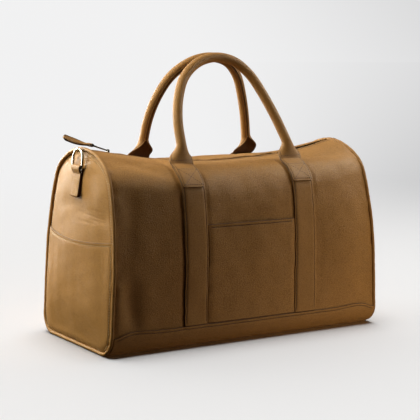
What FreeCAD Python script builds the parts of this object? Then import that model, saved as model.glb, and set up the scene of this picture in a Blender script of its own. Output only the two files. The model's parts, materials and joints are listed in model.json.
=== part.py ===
import FreeCAD, Part
import math
import os

# Leather duffel bag. The origin is on the ground under the middle of the bag, +X runs along its
# length, -Y is the front, +Z is up. Millimetres. Every leather, cloth and metal piece is a separate
# solid; layers that lie on each other keep a thin clearance.

Vec = FreeCAD.Vector

# ---- body outline -------------------------------------------------------------------------------
HALF_LENGTH = 250.0        # middle to the end plane, at the ground
END_LEAN = 0.0455          # each end leans in by this much per mm of height
HALF_DEPTH = 113.5         # middle to the widest line of the front and of the back
PROFILE_BOTTOM = 2.3       # the outline stands this far off the ground: the base leather is outside it
CORNER_RADIUS = 30.0       # rounding between the base and the sides
SIDE_START = 110.0         # height where the sides start to lean in
LEATHER = 2.0
BASE_THICK = 2.2
LAYER_GAP = 0.3            # clearance between layers

# The top sags between the ends, so the outline goes from END_ARCH at both ends to MID_ARCH half way.
END_ARCH = {"side_radius": 463.0, "side_top": 250.0, "shoulder_radius": 60.0, "crest": 302.5}
MID_ARCH = {"side_radius": 1100.0, "side_top": 226.0, "shoulder_radius": 58.0, "crest": 275.5}

# ---- zip line: a circle in the middle plane, through the crests of the two outlines ----------------
SIDE_END_GAP = 3.5         # the side panels stop this far short of the end plane, at the piping
SIDE_HALF_LENGTH = HALF_LENGTH - SIDE_END_GAP
CREST_HALF_SPAN = SIDE_HALF_LENGTH - END_LEAN * END_ARCH["crest"]
ZIP_SAG = END_ARCH["crest"] - MID_ARCH["crest"]
ZIP_RADIUS = (CREST_HALF_SPAN**2 + ZIP_SAG**2) / (2.0 * ZIP_SAG)
ZIP_CENTRE = MID_ARCH["crest"] + ZIP_RADIUS
ZIP_OPENING = 6.5          # middle to each leather edge
TAPE_DEPTH = 3.2           # from the crest down to the tape
TAPE_THICK = 0.8
TAPE_REACH = 14.0          # middle to the tape's sewn edge
TAPE_HALF_LENGTH = 228.0
TAPE_GAP = 0.1             # teeth to the tape
TOOTH_INNER = 1.05
TOOTH_OUTER = 3.1
TOOTH_DEPTHS = (1.6, 4.8)
TOOTH_PITCH = 4.0
TOOTH_LENGTH = 1.7
CHAIN_LEFT = -203.0        # closed end of the chain
CHAIN_RIGHT = 218.0
STOP_LENGTH = 4.0
STOP_GAP = 0.5             # first tooth to the stops at the closed end

# ---- slider, puller and leather pull ---------------------------------------------------------------
SLIDER_X = -195.0          # where the slider stands when the bag is closed
SLIDER_LENGTH = 13.0
SLIDER_HALF_WIDTH = 5.6
UPPER_PLATE = (-1.2, 0.6)  # the slider's plates, from the crest
LOWER_PLATE = (-6.6, -5.2)
LIP_INNER = 4.3            # middle to the lips that close round the teeth
LIP_SETBACK = 3.0          # the lips stop this far short of the slider's ends
UPPER_LIP = 1.4
LOWER_LIP = 0.8
WEDGE_SETBACK = 1.0
WEDGE_TIP = -0.5
WEDGE_HALF = 0.8
EAR_INNER = 1.5
EAR_OUTER = 2.6
EAR_RADIUS = 1.9
PIN_HEIGHT = 3.3           # puller pin over the crest
PIN_RADIUS = 0.9
PULLER_REST = 7.0          # degrees above the tangent of the zip line
PULLER_LENGTH = 31.0       # pin to the bar that holds the leather
PULLER_THICK = 1.8
EYE_RADIUS = 2.2
EYE_HALF = 1.3             # half width of the eye and of the stem beside it
STEM_START = 1.0
STEM_END = 8.0
BODY_START = 7.0
BODY_HALF = 3.2
ARM_LENGTH = 5.8           # bar to the shoulder that the two arms stand on
ARM_WIDTH = 1.9
ARM_GAP = 0.5              # arm to the leather
ARM_END_RADIUS = 1.5
SHOULDER = (-1.6, 0.6)     # the shoulder's two edges, about the foot of the arms
BAR_RADIUS = 1.2
PULL_THICK = 2.8
PULL_WIDTH = 12.0
PULL_LENGTH = 48.0
PULL_EYE = 1.8             # leather round the bar
PULL_TIP = 0.42            # radius of the tip's corners, as a share of the width
PULL_START = -1.0          # degrees, from the zip line's tangent
PULL_END = 13.0
PIN_FIT = 0.1              # radial clearance on each swinging pin

# ---- straps, tabs and handles ------------------------------------------------------------------
STRAP_X = 103.25
STRAP_WIDTH = 41.0
TAB_WIDTH = 41.8
STRAP_THICK = 2.2
TAB_THICK = 2.3
TAB_OFFSET = 2 * LAYER_GAP + STRAP_THICK
STRAP_SETBACK = 3.0        # the strap stops this far short of the bend, under the tab
BAND_TOP = 36.0            # top seam of the base band
BAND_TUCK = 10.0           # the side panels run this far down behind the band
TAB_BOTTOM = 245.0
POCKET_TOP = 189.0
POCKET_THICK = 1.5
BEND_DEPTH = 68.0          # middle to the tab's top edge, along the top of the bag
BEND_GAP = 0.5             # the line where the handle bends is this far outside the tab
HANDLE_LEAN = 20.25        # degrees, towards the middle
ROLL_RADIUS = 7.75
ROLL_CORE = 5.5
CORE_FIT = 0.15
NECK = 29.0                # bend line to the neck where the roll starts, along the handle
NECK_GAP = 0.1             # funnel to roll
NECK_LEAD = 14.0           # the funnel heads straight for the neck over about this length
FUNNEL_START = 0.7         # bend line to the funnel's flat edge
FUNNEL_BACK = 1.2
FUNNEL_THICK = 2.25
FUNNEL_SHARES = (0.0, 0.15, 0.32, 0.5, 0.68, 0.85, 1.0)
CURL_START = 0.1           # how far round half the strip reaches, in radians, at the bend and at the neck
CURL_END = math.radians(155)
CURL_POWER = 1.3
# Route of the rolled handle in its own leaning plane, left neck to right neck: along the bag, then up.
HANDLE_ROUTE = [(-98, NECK), (-98, 64), (-90, 102), (-72, 140), (-40, 164.5), (-4, 173),
                (31, 165.5), (57, 140), (74, 105), (89, 68), (101, NECK)]

# ---- end panels, pockets, rings and piping -----------------------------------------------------
BULGE = 11.0               # how far the middle of each end stands out
BULGE_POWER = 2.4
END_CENTRE = 150.0         # height of the middle of the bulge
RIM_INSET = 4.2
PIPING_RADIUS = 2.9
PIPING_INSET = 0.8
PIPING_CORD = 1.9
CORD_FIT = 0.1
END_POCKET_EDGE = 176.0
END_POCKET_DIP = 165.0
END_POCKET_THICK = 1.8
OVERCUT = 20.0             # a cutting outline runs this far past the piece
RING_WIRE = 2.0
RING_HALF = 15.5
RING_LEG = 12.5
RING_CORNER = 2.7
RING_BAR_HEIGHT = 274.0
RING_LEAN = 4.5            # degrees, towards the bag
TAB_LAYER = 2.2
RING_TAB_HALF = 12.6
RING_TAB_BOTTOM = 231.0
RING_TAB_FOLD = 2.2        # eye radii from the bar to where the two layers meet

# ---- inside ------------------------------------------------------------------------------------
LINING_DEPTH = 4.6
LINING_THICK = 0.6
LINING_SHARE = 0.985       # the body's lining stops this far along, inside the ends
END_LINING_INSET = 4.0     # from the end panel's rim
END_LINING_DEPTH = 6.6
BOARD_GAP = 0.1
BOARD_THICK = 4.0
BOARD_HALF_LENGTH = 240.0
BOARD_HALF_WIDTH = 80.0

os.makedirs("parts", exist_ok=True)


def save(name, shape):
    shape.exportStep("parts/%s.step" % name)
    valid = all(solid.isValid() for solid in shape.Solids)
    print("%-22s %3d solids %9.1f mm3 valid %s" % (name, len(shape.Solids), shape.Volume, valid))


def mirrored(shape):
    """The same piece at the other end of the bag."""
    return shape.mirror(Vec(0, 0, 0), Vec(1, 0, 0))


def backed(shape):
    """The same piece on the back of the bag."""
    return shape.mirror(Vec(0, 0, 0), Vec(0, 1, 0))


# ---- the outline and surfaces that follow it -----------------------------------------------------
def arch_arcs(side_radius, side_top, shoulder_radius, crest):
    """Half outline from the base's middle up to the crest, as (centre y, centre z, radius, from, to)."""
    side_turn = math.asin((side_top - SIDE_START) / side_radius)
    along = side_radius - shoulder_radius
    side_y = HALF_DEPTH - side_radius
    shoulder_y = side_y + along * math.cos(side_turn)
    shoulder_z = SIDE_START + along * math.sin(side_turn)
    rise = shoulder_z - crest
    crown_radius = (shoulder_radius**2 - shoulder_y**2 - rise**2) / (2.0 * (shoulder_radius + rise))
    reach = crown_radius - shoulder_radius
    crown_turn = math.atan2((shoulder_z - crest + crown_radius) / reach, shoulder_y / reach)
    corner_y = HALF_DEPTH - CORNER_RADIUS
    corner_z = PROFILE_BOTTOM + CORNER_RADIUS
    return [
        (corner_y, corner_z, CORNER_RADIUS, -math.pi / 2, 0.0),
        (side_y, SIDE_START, side_radius, 0.0, side_turn),
        (shoulder_y, shoulder_z, shoulder_radius, side_turn, crown_turn),
        (0.0, crest - crown_radius, crown_radius, crown_turn, math.pi / 2),
    ]


def arc_point(arc, share, inset=0.0):
    centre_y, centre_z, radius, start, end = arc
    angle = start + (end - start) * share
    return (centre_y + (radius - inset) * math.cos(angle), centre_z + (radius - inset) * math.sin(angle))


def sampled_arch(arch):
    """Half outline as closely spaced points, the same count on every arch."""
    points = [(0.0, PROFILE_BOTTOM)]
    for arc, steps in zip(arch_arcs(**arch), (16, 24, 24, 20)):
        points += [arc_point(arc, step / steps) for step in range(steps + 1)]
    return [point for i, point in enumerate(points) if i == 0 or math.dist(point, points[i - 1]) > 0.01]


END_POINTS = sampled_arch(END_ARCH)
MID_POINTS = sampled_arch(MID_ARCH)


def zip_drop(x):
    """How far the zip line at x is above its lowest point."""
    return ZIP_RADIUS - math.sqrt(ZIP_RADIUS**2 - x * x)


def station_x(station, z):
    """X on the cross-section `station`, from -1 at the left end to 1 at the right end."""
    return SIDE_HALF_LENGTH * station - END_LEAN * station**3 * z


class Section:
    """The bag's cross-section at one station: its half outline, measured along its length."""

    def __init__(self, station):
        self.station = station
        share = zip_drop(station_x(station, END_ARCH["crest"])) / ZIP_SAG
        self.points = [(m[0] + (e[0] - m[0]) * share, m[1] + (e[1] - m[1]) * share)
                       for m, e in zip(MID_POINTS, END_POINTS)]
        self.along = [0.0]
        for a, b in zip(self.points, self.points[1:]):
            self.along.append(self.along[-1] + math.dist(a, b))

    def at_height(self, z):
        """Length along the outline to the height z on the side of the bag."""
        for i in range(1, len(self.points)):
            low, high = self.points[i - 1][1], self.points[i][1]
            if low <= z <= high and high > low:
                return self.along[i - 1] + (self.along[i] - self.along[i - 1]) * (z - low) / (high - low)
        raise ValueError(z)

    def at_depth(self, y):
        """Length along the outline to the distance y from the middle, on the top of the bag."""
        for i in range(len(self.points) - 1, 0, -1):
            near, far = self.points[i][0], self.points[i - 1][0]
            if near <= y <= far:
                return self.along[i] - (self.along[i] - self.along[i - 1]) * (y - near) / (far - near)
        raise ValueError(y)

    def point(self, length, offset):
        """Point at a signed length along the outline: below zero on the front, above on the back."""
        target = min(abs(length), self.along[-1])
        i = 1
        while i < len(self.along) - 1 and self.along[i] < target:
            i += 1
        a, b = self.points[i - 1], self.points[i]
        span = self.along[i] - self.along[i - 1]
        share = (target - self.along[i - 1]) / span
        before = self.points[max(i - 2, 0)]
        after = self.points[min(i + 1, len(self.points) - 1)]
        turn_a = math.atan2(b[1] - before[1], b[0] - before[0])
        turn_b = math.atan2(after[1] - a[1], after[0] - a[0])
        turn = turn_a + (turn_b - turn_a) * share
        y = a[0] + (b[0] - a[0]) * share + math.sin(turn) * offset
        z = a[1] + (b[1] - a[1]) * share - math.cos(turn) * offset
        if length < 0:
            y = -y
        return Vec(station_x(self.station, z), y, z)


def curve(points, closed=False):
    """Smooth line through points that are evenly spaced along it."""
    line = Part.BSplineCurve()
    count = len(points) if closed else len(points) - 1
    line.interpolate(Points=points, PeriodicFlag=closed, Parameters=[i / count for i in range(count + 1)])
    return line.toShape()


def strip_wire(outer, inner):
    """Closed outline of a thin strip, from its two faces' points."""
    return Part.Wire([curve(outer), Part.LineSegment(outer[-1], inner[-1]).toShape(),
                      curve(list(reversed(inner))), Part.LineSegment(inner[0], outer[0]).toShape()])


def patch(stations, start, end, low, high, count=32):
    """Sheet that follows the bag between two lengths along its outline, `low` to `high` off it."""
    wires = []
    for station in stations:
        section = Section(station)
        first, last = start(section), end(section)
        lengths = [first + (last - first) * i / (count - 1) for i in range(count)]
        wires.append(strip_wire([section.point(length, high) for length in lengths],
                                [section.point(length, low) for length in lengths]))
    return Part.makeLoft(wires, True, False)


def strap_stations(width):
    return [(STRAP_X + width * share) / SIDE_HALF_LENGTH for share in (-0.5, 0.0, 0.5)]


RIGHT_STATIONS = [0.17] + strap_stations(STRAP_WIDTH) + [0.68, 0.86, 1.0]
BODY_STATIONS = [-station for station in reversed(RIGHT_STATIONS)] + [0.0] + RIGHT_STATIONS


def side_panel():
    return patch(BODY_STATIONS,
                 lambda section: -section.at_height(BAND_TOP - BAND_TUCK),
                 lambda section: -section.at_depth(ZIP_OPENING), -LEATHER, 0.0, 36)


def base_panel():
    """Base leather with its front and back bands, cut flat where it stands on the ground."""
    panel = patch(BODY_STATIONS,
                  lambda section: -section.at_height(BAND_TOP),
                  lambda section: section.at_height(BAND_TOP),
                  LAYER_GAP, LAYER_GAP + BASE_THICK, 40)
    ground = slab(-HALF_LENGTH - OVERCUT, HALF_LENGTH + OVERCUT, -HALF_DEPTH, HALF_DEPTH, -OVERCUT, 0.0)
    return panel.cut(ground)


def side_lining():
    """Front half of the body's lining, from the zip down to the seam along the middle of the base."""
    return patch([station * LINING_SHARE for station in BODY_STATIONS],
                 lambda section: -0.5 * LAYER_GAP,
                 lambda section: -section.at_depth(TAPE_REACH - 5),
                 -LINING_DEPTH - LINING_THICK, -LINING_DEPTH, 40)


def strap():
    """Front right strap, from the base band up under the handle tab."""
    return patch(strap_stations(STRAP_WIDTH),
                 lambda section: -section.at_height(BAND_TOP + LAYER_GAP),
                 lambda section: -section.at_depth(BEND_DEPTH) + STRAP_SETBACK,
                 LAYER_GAP, LAYER_GAP + STRAP_THICK)


def handle_tab():
    """Flat foot of the front handle, sewn over the right strap."""
    return patch(strap_stations(TAB_WIDTH),
                 lambda section: -section.at_height(TAB_BOTTOM),
                 lambda section: -section.at_depth(BEND_DEPTH), TAB_OFFSET, TAB_OFFSET + TAB_THICK, 10)


def front_pocket():
    reach = (STRAP_X - STRAP_WIDTH / 2 - LAYER_GAP) / SIDE_HALF_LENGTH
    return patch([-reach, -reach / 2, 0.0, reach / 2, reach],
                 lambda section: -section.at_height(BAND_TOP + LAYER_GAP),
                 lambda section: -section.at_height(POCKET_TOP),
                 LAYER_GAP, LAYER_GAP + POCKET_THICK)


# ---- ends ----------------------------------------------------------------------------------------
def end_ring(share, inset, lift, count=32):
    """Closed curve on the right end's bulged face, `share` of the way from its middle to its rim."""
    section = Section(1.0)
    half = [section.point(section.along[-1] * i / count, -inset) for i in range(count + 1)]
    loop = [(p.y, p.z) for p in half] + [(-p.y, p.z) for p in reversed(half[1:-1])]
    points = []
    for y, z in loop:
        height = END_CENTRE + (z - END_CENTRE) * share
        points.append(Vec(HALF_LENGTH - END_LEAN * height + lift + bulge(share), y * share, height))
    return Part.Wire(curve(points, closed=True))


def bulge(share):
    return BULGE * (1.0 - share**BULGE_POWER)


def end_sheet(inset, lift, thick):
    """Bulged sheet over the right end, its outer face `lift` beyond the end plane."""
    shares = (1.0, 0.86, 0.7, 0.52, 0.34, 0.16)
    outer = [end_ring(share, inset, lift) for share in shares]
    inner = [end_ring(share, inset, lift - thick) for share in shares]
    faces = Part.makeLoft(outer, False, False).Faces + Part.makeLoft(inner, False, False).Faces
    faces += Part.makeLoft([outer[0], inner[0]], False, True).Faces
    faces += [Part.Face(outer[-1]), Part.Face(inner[-1])]
    shell = Part.Shell(faces)
    shell.sewShape()
    solid = Part.Solid(shell)
    if solid.Volume < 0:
        solid.reverse()
    return solid


def end_surface(z, lift):
    """X of the right end's bulged face on the middle line."""
    top = END_ARCH["crest"] - RIM_INSET
    share = (z - END_CENTRE) / (top - END_CENTRE)
    return HALF_LENGTH - END_LEAN * z + lift + bulge(share)


def end_panel():
    return end_sheet(RIM_INSET, -LAYER_GAP, LEATHER)


def end_lining():
    return end_sheet(RIM_INSET + END_LINING_INSET, -END_LINING_DEPTH, LINING_THICK)


def end_pocket():
    """Slip pocket over the lower half of the end, its mouth dipping in the middle."""
    sheet = end_sheet(RIM_INSET + LAYER_GAP, END_POCKET_THICK, END_POCKET_THICK)
    side = HALF_DEPTH + OVERCUT
    mouth = Part.Arc(Vec(0, side, END_POCKET_EDGE), Vec(0, 0, END_POCKET_DIP), Vec(0, -side, END_POCKET_EDGE))
    outline = Part.Wire([line_edge(-side, -OVERCUT, side, -OVERCUT),
                         line_edge(side, -OVERCUT, side, END_POCKET_EDGE), mouth.toShape(),
                         line_edge(-side, END_POCKET_EDGE, -side, -OVERCUT)])
    return sheet.common(Part.Face(outline).extrude(Vec(2 * HALF_LENGTH, 0, 0)))


def arc_edge(arc, inset, side=1):
    shares = (0.0, 0.5, 1.0) if side > 0 else (1.0, 0.5, 0.0)
    ends = [arc_point(arc, share, inset) for share in shares]
    return Part.Arc(*[Vec(0, side * y, z) for y, z in ends]).toShape()


def line_edge(y0, z0, y1, z1):
    return Part.LineSegment(Vec(0, y0, z0), Vec(0, y1, z1)).toShape()


def end_outline(inset):
    """Closed path of arcs round the end, `inset` inside the outline, in the plane X = 0."""
    arcs = arch_arcs(**END_ARCH)
    corner, side, shoulder, crown = arcs
    base = PROFILE_BOTTOM + inset
    wide = HALF_DEPTH - inset
    crown_start = arc_point(crown, 0.0, inset)
    edges = [line_edge(0, base, corner[0], base), arc_edge(corner, inset),
             line_edge(wide, corner[1], wide, SIDE_START), arc_edge(side, inset),
             arc_edge(shoulder, inset),
             Part.Arc(Vec(0, *crown_start), Vec(0, 0, END_ARCH["crest"] - inset),
                      Vec(0, -crown_start[0], crown_start[1])).toShape(),
             arc_edge(shoulder, inset, -1), arc_edge(side, inset, -1),
             line_edge(-wide, SIDE_START, -wide, corner[1]), arc_edge(corner, inset, -1),
             line_edge(-corner[0], base, 0, base)]
    return Part.Wire(edges)


def piping_tube(radius):
    """Round tube along the seam of the right end."""
    path = end_outline(PIPING_INSET)
    start = Vec(0, 0, PROFILE_BOTTOM + PIPING_INSET)
    tube = path.makePipe(Part.Face(Part.Wire(Part.makeCircle(radius, start, Vec(0, 1, 0)))))
    tube.rotate(Vec(0, 0, 0), Vec(0, 1, 0), -math.degrees(math.atan(END_LEAN)))
    tube.translate(Vec(HALF_LENGTH - LAYER_GAP, 0, 0))
    return tube


def d_ring():
    """Right D-ring, standing on its straight bar and leaning in against the end."""
    half, corner = RING_HALF, RING_CORNER
    flat = half - corner
    dip = corner * (1.0 - math.sqrt(0.5))
    path = Part.Wire([
        line_edge(-flat, 0, flat, 0),
        Part.Arc(Vec(0, flat, 0), Vec(0, half - dip, dip), Vec(0, half, corner)).toShape(),
        line_edge(half, corner, half, RING_LEG),
        Part.Arc(Vec(0, half, RING_LEG), Vec(0, 0, RING_LEG + half), Vec(0, -half, RING_LEG)).toShape(),
        line_edge(-half, RING_LEG, -half, corner),
        Part.Arc(Vec(0, -half, corner), Vec(0, dip - half, dip), Vec(0, -flat, 0)).toShape()])
    ring = path.makePipe(Part.Face(Part.Wire(Part.makeCircle(RING_WIRE, Vec(0, -flat, 0), Vec(0, 1, 0)))))
    ring.rotate(Vec(0, 0, 0), Vec(0, 1, 0), -RING_LEAN)
    ring.translate(Vec(ring_bar_x(), 0, RING_BAR_HEIGHT))
    return ring


def ring_bar_x():
    """X of the right ring's bar: outside the end face by the leather that wraps it."""
    return end_surface(RING_BAR_HEIGHT, 0.0) + RING_WIRE + PIN_FIT + TAB_LAYER + 2 * LAYER_GAP


def ring_tab():
    """Leather tab, folded round the ring's bar and sewn flat on the right end."""
    bar = Vec(ring_bar_x(), 0, RING_BAR_HEIGHT)
    eye = RING_WIRE + PIN_FIT
    back_x = end_surface(RING_TAB_BOTTOM, 2 * LAYER_GAP)
    slope = math.atan2(back_x - (bar.x - eye - TAB_LAYER), RING_BAR_HEIGHT - RING_TAB_BOTTOM)
    down = Vec(math.sin(slope), 0, -math.cos(slope))
    out = Vec(math.cos(slope), 0, math.sin(slope))
    length = (RING_BAR_HEIGHT - RING_TAB_BOTTOM) / math.cos(slope)
    outer = eye + TAB_LAYER
    sole = bar + down * length - out * outer
    front = sole + out * (2 * TAB_LAYER)
    fold = bar + down * (RING_TAB_FOLD * outer)
    corners = [bar - out * outer, sole, front, fold + out * (2 * TAB_LAYER - outer), bar + out * outer]
    side = Part.Face(Part.makePolygon(corners + corners[:1]))
    side.translate(Vec(0, -RING_TAB_HALF, 0))
    width = Vec(0, 2 * RING_TAB_HALF, 0)
    start = bar - Vec(0, RING_TAB_HALF, 0)
    wrap = Part.makeCylinder(outer, width.y, start, Vec(0, 1, 0))
    hole = Part.makeCylinder(eye, width.y, start, Vec(0, 1, 0))
    return side.extrude(width).fuse(wrap).cut(hole).removeSplitter()


# ---- zip -----------------------------------------------------------------------------------------
def zip_angle(x):
    """Angle about the zip's far centre, in degrees; above zero to the left."""
    return -math.degrees(math.asin(x / ZIP_RADIUS))


def on_zip(shape, x):
    """Turn a piece that was built at the middle of the zip line to its place at x."""
    placed = shape.copy()
    placed.rotate(Vec(0, 0, ZIP_CENTRE), Vec(0, 1, 0), zip_angle(x))
    return placed


def zip_band(y0, y1, depth0, depth1, x0, x1):
    """Curved bar along the zip line, between two widths, two depths under the crest and two ends."""
    low = MID_ARCH["crest"] - depth1
    high = MID_ARCH["crest"] - depth0
    face = Part.Face(Part.makePolygon([Vec(0, y0, low), Vec(0, y1, low), Vec(0, y1, high), Vec(0, y0, high),
                                       Vec(0, y0, low)]))
    face = on_zip(face, x0)
    return face.revolve(Vec(0, 0, ZIP_CENTRE), Vec(0, 1, 0), zip_angle(x1) - zip_angle(x0))


def zip_tape():
    return zip_band(-TAPE_REACH, -TOOTH_OUTER - TAPE_GAP, TAPE_DEPTH, TAPE_DEPTH + TAPE_THICK,
                    -TAPE_HALF_LENGTH, TAPE_HALF_LENGTH)


def zip_teeth(shift):
    """One row of teeth on the front tape."""
    top, bottom = TOOTH_DEPTHS
    tooth = Part.makeBox(TOOTH_LENGTH, TOOTH_OUTER - TOOTH_INNER, bottom - top,
                         Vec(-TOOTH_LENGTH / 2, -TOOTH_OUTER, MID_ARCH["crest"] - bottom))
    count = int((CHAIN_RIGHT - CHAIN_LEFT) / TOOTH_PITCH)
    return Part.makeCompound([on_zip(tooth, CHAIN_LEFT + shift + TOOTH_PITCH * i) for i in range(count)])


def zip_stops():
    """Two small blocks at the closed end and one wide block at the other end."""
    top, bottom = TOOTH_DEPTHS
    left = CHAIN_LEFT - TOOTH_LENGTH - STOP_LENGTH - STOP_GAP
    right = CHAIN_RIGHT + TOOTH_PITCH
    stops = [zip_band(y, y + TOOTH_OUTER - TOOTH_INNER, top, bottom, left, left + STOP_LENGTH)
             for y in (-TOOTH_OUTER, TOOTH_INNER)]
    stops.append(zip_band(-TOOTH_OUTER, TOOTH_OUTER, top, bottom, right, right + STOP_LENGTH))
    return Part.makeCompound(stops)


def bar_at(x, y0, y1, z, radius):
    return Part.makeCylinder(radius, y1 - y0, Vec(x, y0, z), Vec(0, 1, 0))


def slab(x0, x1, y0, y1, z0, z1):
    return Part.makeBox(x1 - x0, y1 - y0, z1 - z0, Vec(x0, y0, z0))


def rounded_plate(length, half_width, z0, z1):
    """Plate with rounded corners, centred under the puller's pin."""
    plate = slab(-length / 2, length / 2, -half_width, half_width, z0, z1)
    upright = [edge for edge in plate.Edges if abs(edge.Vertexes[0].Z - edge.Vertexes[1].Z) > 0.5 * (z1 - z0)]
    return plate.makeFillet(0.45 * half_width, upright)


def zip_slider():
    """Two plates joined by a wedge at the closing end, with a pin for the puller on two ears."""
    crest = MID_ARCH["crest"]
    half = SLIDER_LENGTH / 2
    (upper_low, upper_high), (lower_low, lower_high) = (
        [crest + face for face in plate] for plate in (UPPER_PLATE, LOWER_PLATE))
    slider = rounded_plate(SLIDER_LENGTH, SLIDER_HALF_WIDTH, upper_low, upper_high)
    slider = slider.fuse(rounded_plate(SLIDER_LENGTH, SLIDER_HALF_WIDTH, lower_low, lower_high))
    lip = half - LIP_SETBACK
    for y0, y1 in ((-SLIDER_HALF_WIDTH, -LIP_INNER), (LIP_INNER, SLIDER_HALF_WIDTH)):
        slider = slider.fuse(slab(-lip, lip, y0, y1, upper_low - UPPER_LIP, upper_low))
        slider = slider.fuse(slab(-lip, lip, y0, y1, lower_high, lower_high + LOWER_LIP))
    wedge_start = WEDGE_SETBACK - half
    slider = slider.fuse(slab(wedge_start, WEDGE_TIP, -WEDGE_HALF, WEDGE_HALF, lower_high, upper_low))
    pin_z = crest + PIN_HEIGHT
    for y0, y1 in ((-EAR_OUTER, -EAR_INNER), (EAR_INNER, EAR_OUTER)):
        ear = slab(-EAR_RADIUS, EAR_RADIUS, y0, y1, upper_high, pin_z)
        slider = slider.fuse(ear.fuse(bar_at(0, y0, y1, pin_z, EAR_RADIUS)))
    slider = slider.fuse(bar_at(0, -EAR_INNER, EAR_INNER, pin_z, PIN_RADIUS))
    return on_zip(slider.removeSplitter(), SLIDER_X)


def zip_puller():
    """Metal puller: an eye on the slider's pin, a stem, and a frame whose end bar holds the leather."""
    pin_z = MID_ARCH["crest"] + PIN_HEIGHT
    low, high = pin_z - PULLER_THICK / 2, pin_z + PULLER_THICK / 2
    shoulder = ARM_LENGTH - PULLER_LENGTH
    arm_inner = PULL_WIDTH / 2 + ARM_GAP
    arm_outer = arm_inner + ARM_WIDTH
    puller = bar_at(0, -EYE_HALF, EYE_HALF, pin_z, EYE_RADIUS)
    puller = puller.fuse(slab(-STEM_END, -STEM_START, -EYE_HALF, EYE_HALF, low, high))
    puller = puller.fuse(slab(shoulder, -BODY_START, -BODY_HALF, BODY_HALF, low, high))
    near, far = (shoulder + edge for edge in SHOULDER)
    puller = puller.fuse(slab(near, far, -arm_outer, arm_outer, low, high))
    for y0, y1 in ((-arm_outer, -arm_inner), (arm_inner, arm_outer)):
        puller = puller.fuse(slab(-PULLER_LENGTH, shoulder, y0, y1, low, high))
        puller = puller.fuse(bar_at(-PULLER_LENGTH, y0, y1, pin_z, ARM_END_RADIUS))
    puller = puller.fuse(bar_at(-PULLER_LENGTH, -arm_inner, arm_inner, pin_z, BAR_RADIUS))
    puller = puller.cut(bar_at(0, -EAR_INNER, EAR_INNER, pin_z, PIN_RADIUS + PIN_FIT)).removeSplitter()
    puller.rotate(Vec(0, 0, pin_z), Vec(0, 1, 0), PULLER_REST)
    return on_zip(puller, SLIDER_X)


def puller_bar():
    """The puller's end bar, at the middle of the zip line: x and z."""
    turn = math.radians(PULLER_REST)
    pin_z = MID_ARCH["crest"] + PIN_HEIGHT
    return Vec(-PULLER_LENGTH * math.cos(turn), 0, pin_z + PULLER_LENGTH * math.sin(turn))


def leather_pull():
    """Leather tongue folded round the puller's bar, curving up towards its rounded tip."""
    bar = puller_bar()
    start, end = math.radians(PULL_START), math.radians(PULL_END)
    radius = PULL_LENGTH / (end - start)
    centre = bar + Vec(radius * math.sin(start), 0, radius * math.cos(start))

    def edge_point(share, offset):
        turn = start + (end - start) * share
        return centre - Vec(math.sin(turn), 0, math.cos(turn)) * (radius + offset)

    half = PULL_THICK / 2
    low = [edge_point(share, half) for share in (0.0, 0.5, 1.0)]
    high = [edge_point(share, -half) for share in (1.0, 0.5, 0.0)]
    side = Part.Face(Part.Wire([Part.Arc(*low).toShape(), Part.LineSegment(low[-1], high[0]).toShape(),
                                Part.Arc(*high).toShape(), Part.LineSegment(high[-1], low[0]).toShape()]))
    side.translate(Vec(0, -PULL_WIDTH / 2, 0))
    tongue = side.extrude(Vec(0, PULL_WIDTH, 0))
    tip_x = edge_point(1.0, 0.0).x
    tip = [edge for edge in tongue.Edges
           if all(abs(v.X - tip_x) < 1.0 for v in edge.Vertexes)
           and abs(edge.Vertexes[0].Y - edge.Vertexes[1].Y) < 0.01]
    tongue = tongue.makeFillet(PULL_TIP * PULL_WIDTH, tip)
    eye = BAR_RADIUS + PIN_FIT
    tongue = tongue.fuse(bar_at(bar.x, -PULL_WIDTH / 2, PULL_WIDTH / 2, bar.z, eye + PULL_EYE))
    tongue = tongue.cut(bar_at(bar.x, -PULL_WIDTH / 2, PULL_WIDTH / 2, bar.z, eye)).removeSplitter()
    return on_zip(tongue, SLIDER_X)


# ---- handles -------------------------------------------------------------------------------------
LEAN = math.radians(HANDLE_LEAN)
UP_HANDLE = Vec(0, math.sin(LEAN), math.cos(LEAN))
OFF_HANDLE = Vec(0, -math.cos(LEAN), math.sin(LEAN))


def bend_line():
    """Point on the line that the front handle turns about, just outside the tab's top edge."""
    section = Section(STRAP_X / SIDE_HALF_LENGTH)
    edge = section.point(-section.at_depth(BEND_DEPTH), TAB_OFFSET + TAB_THICK + BEND_GAP)
    print("handle bend line y %.3f z %.3f" % (edge.y, edge.z))
    return Vec(0, edge.y, edge.z)


BEND_LINE = bend_line()


def handle_point(x, up, out=0.0):
    """Point in the front handle's leaning plane: along the bag, up the handle, out towards the front."""
    return BEND_LINE + Vec(x, 0, 0) + UP_HANDLE * up + OFF_HANDLE * (out - FUNNEL_BACK)


def rounded_route(points):
    """Straight runs joined by tangent arcs, each as large as its two runs allow."""
    edges = []
    cursor = points[0]
    for before, here, after in zip(points, points[1:], points[2:]):
        arriving, leaving = (here - before), (after - here)
        turn = arriving.getAngle(leaving)
        cut = 0.45 * min(arriving.Length, leaving.Length)
        arriving.normalize()
        leaving.normalize()
        start, end = here - arriving * cut, here + leaving * cut
        inward = (leaving - arriving).normalize()
        middle = here + inward * (cut * (1.0 / math.sin(turn / 2) - 1.0 / math.tan(turn / 2)))
        edges += [Part.LineSegment(cursor, start).toShape(), Part.Arc(start, middle, end).toShape()]
        cursor = end
    edges.append(Part.LineSegment(cursor, points[-1]).toShape())
    return Part.Wire(edges)


def handle_tube(radius):
    points = [handle_point(x, up) for x, up in HANDLE_ROUTE]
    heading = points[1] - points[0]
    profile = Part.Face(Part.Wire(Part.makeCircle(radius, points[0], heading)))
    return rounded_route(points).makePipe(profile)


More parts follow.
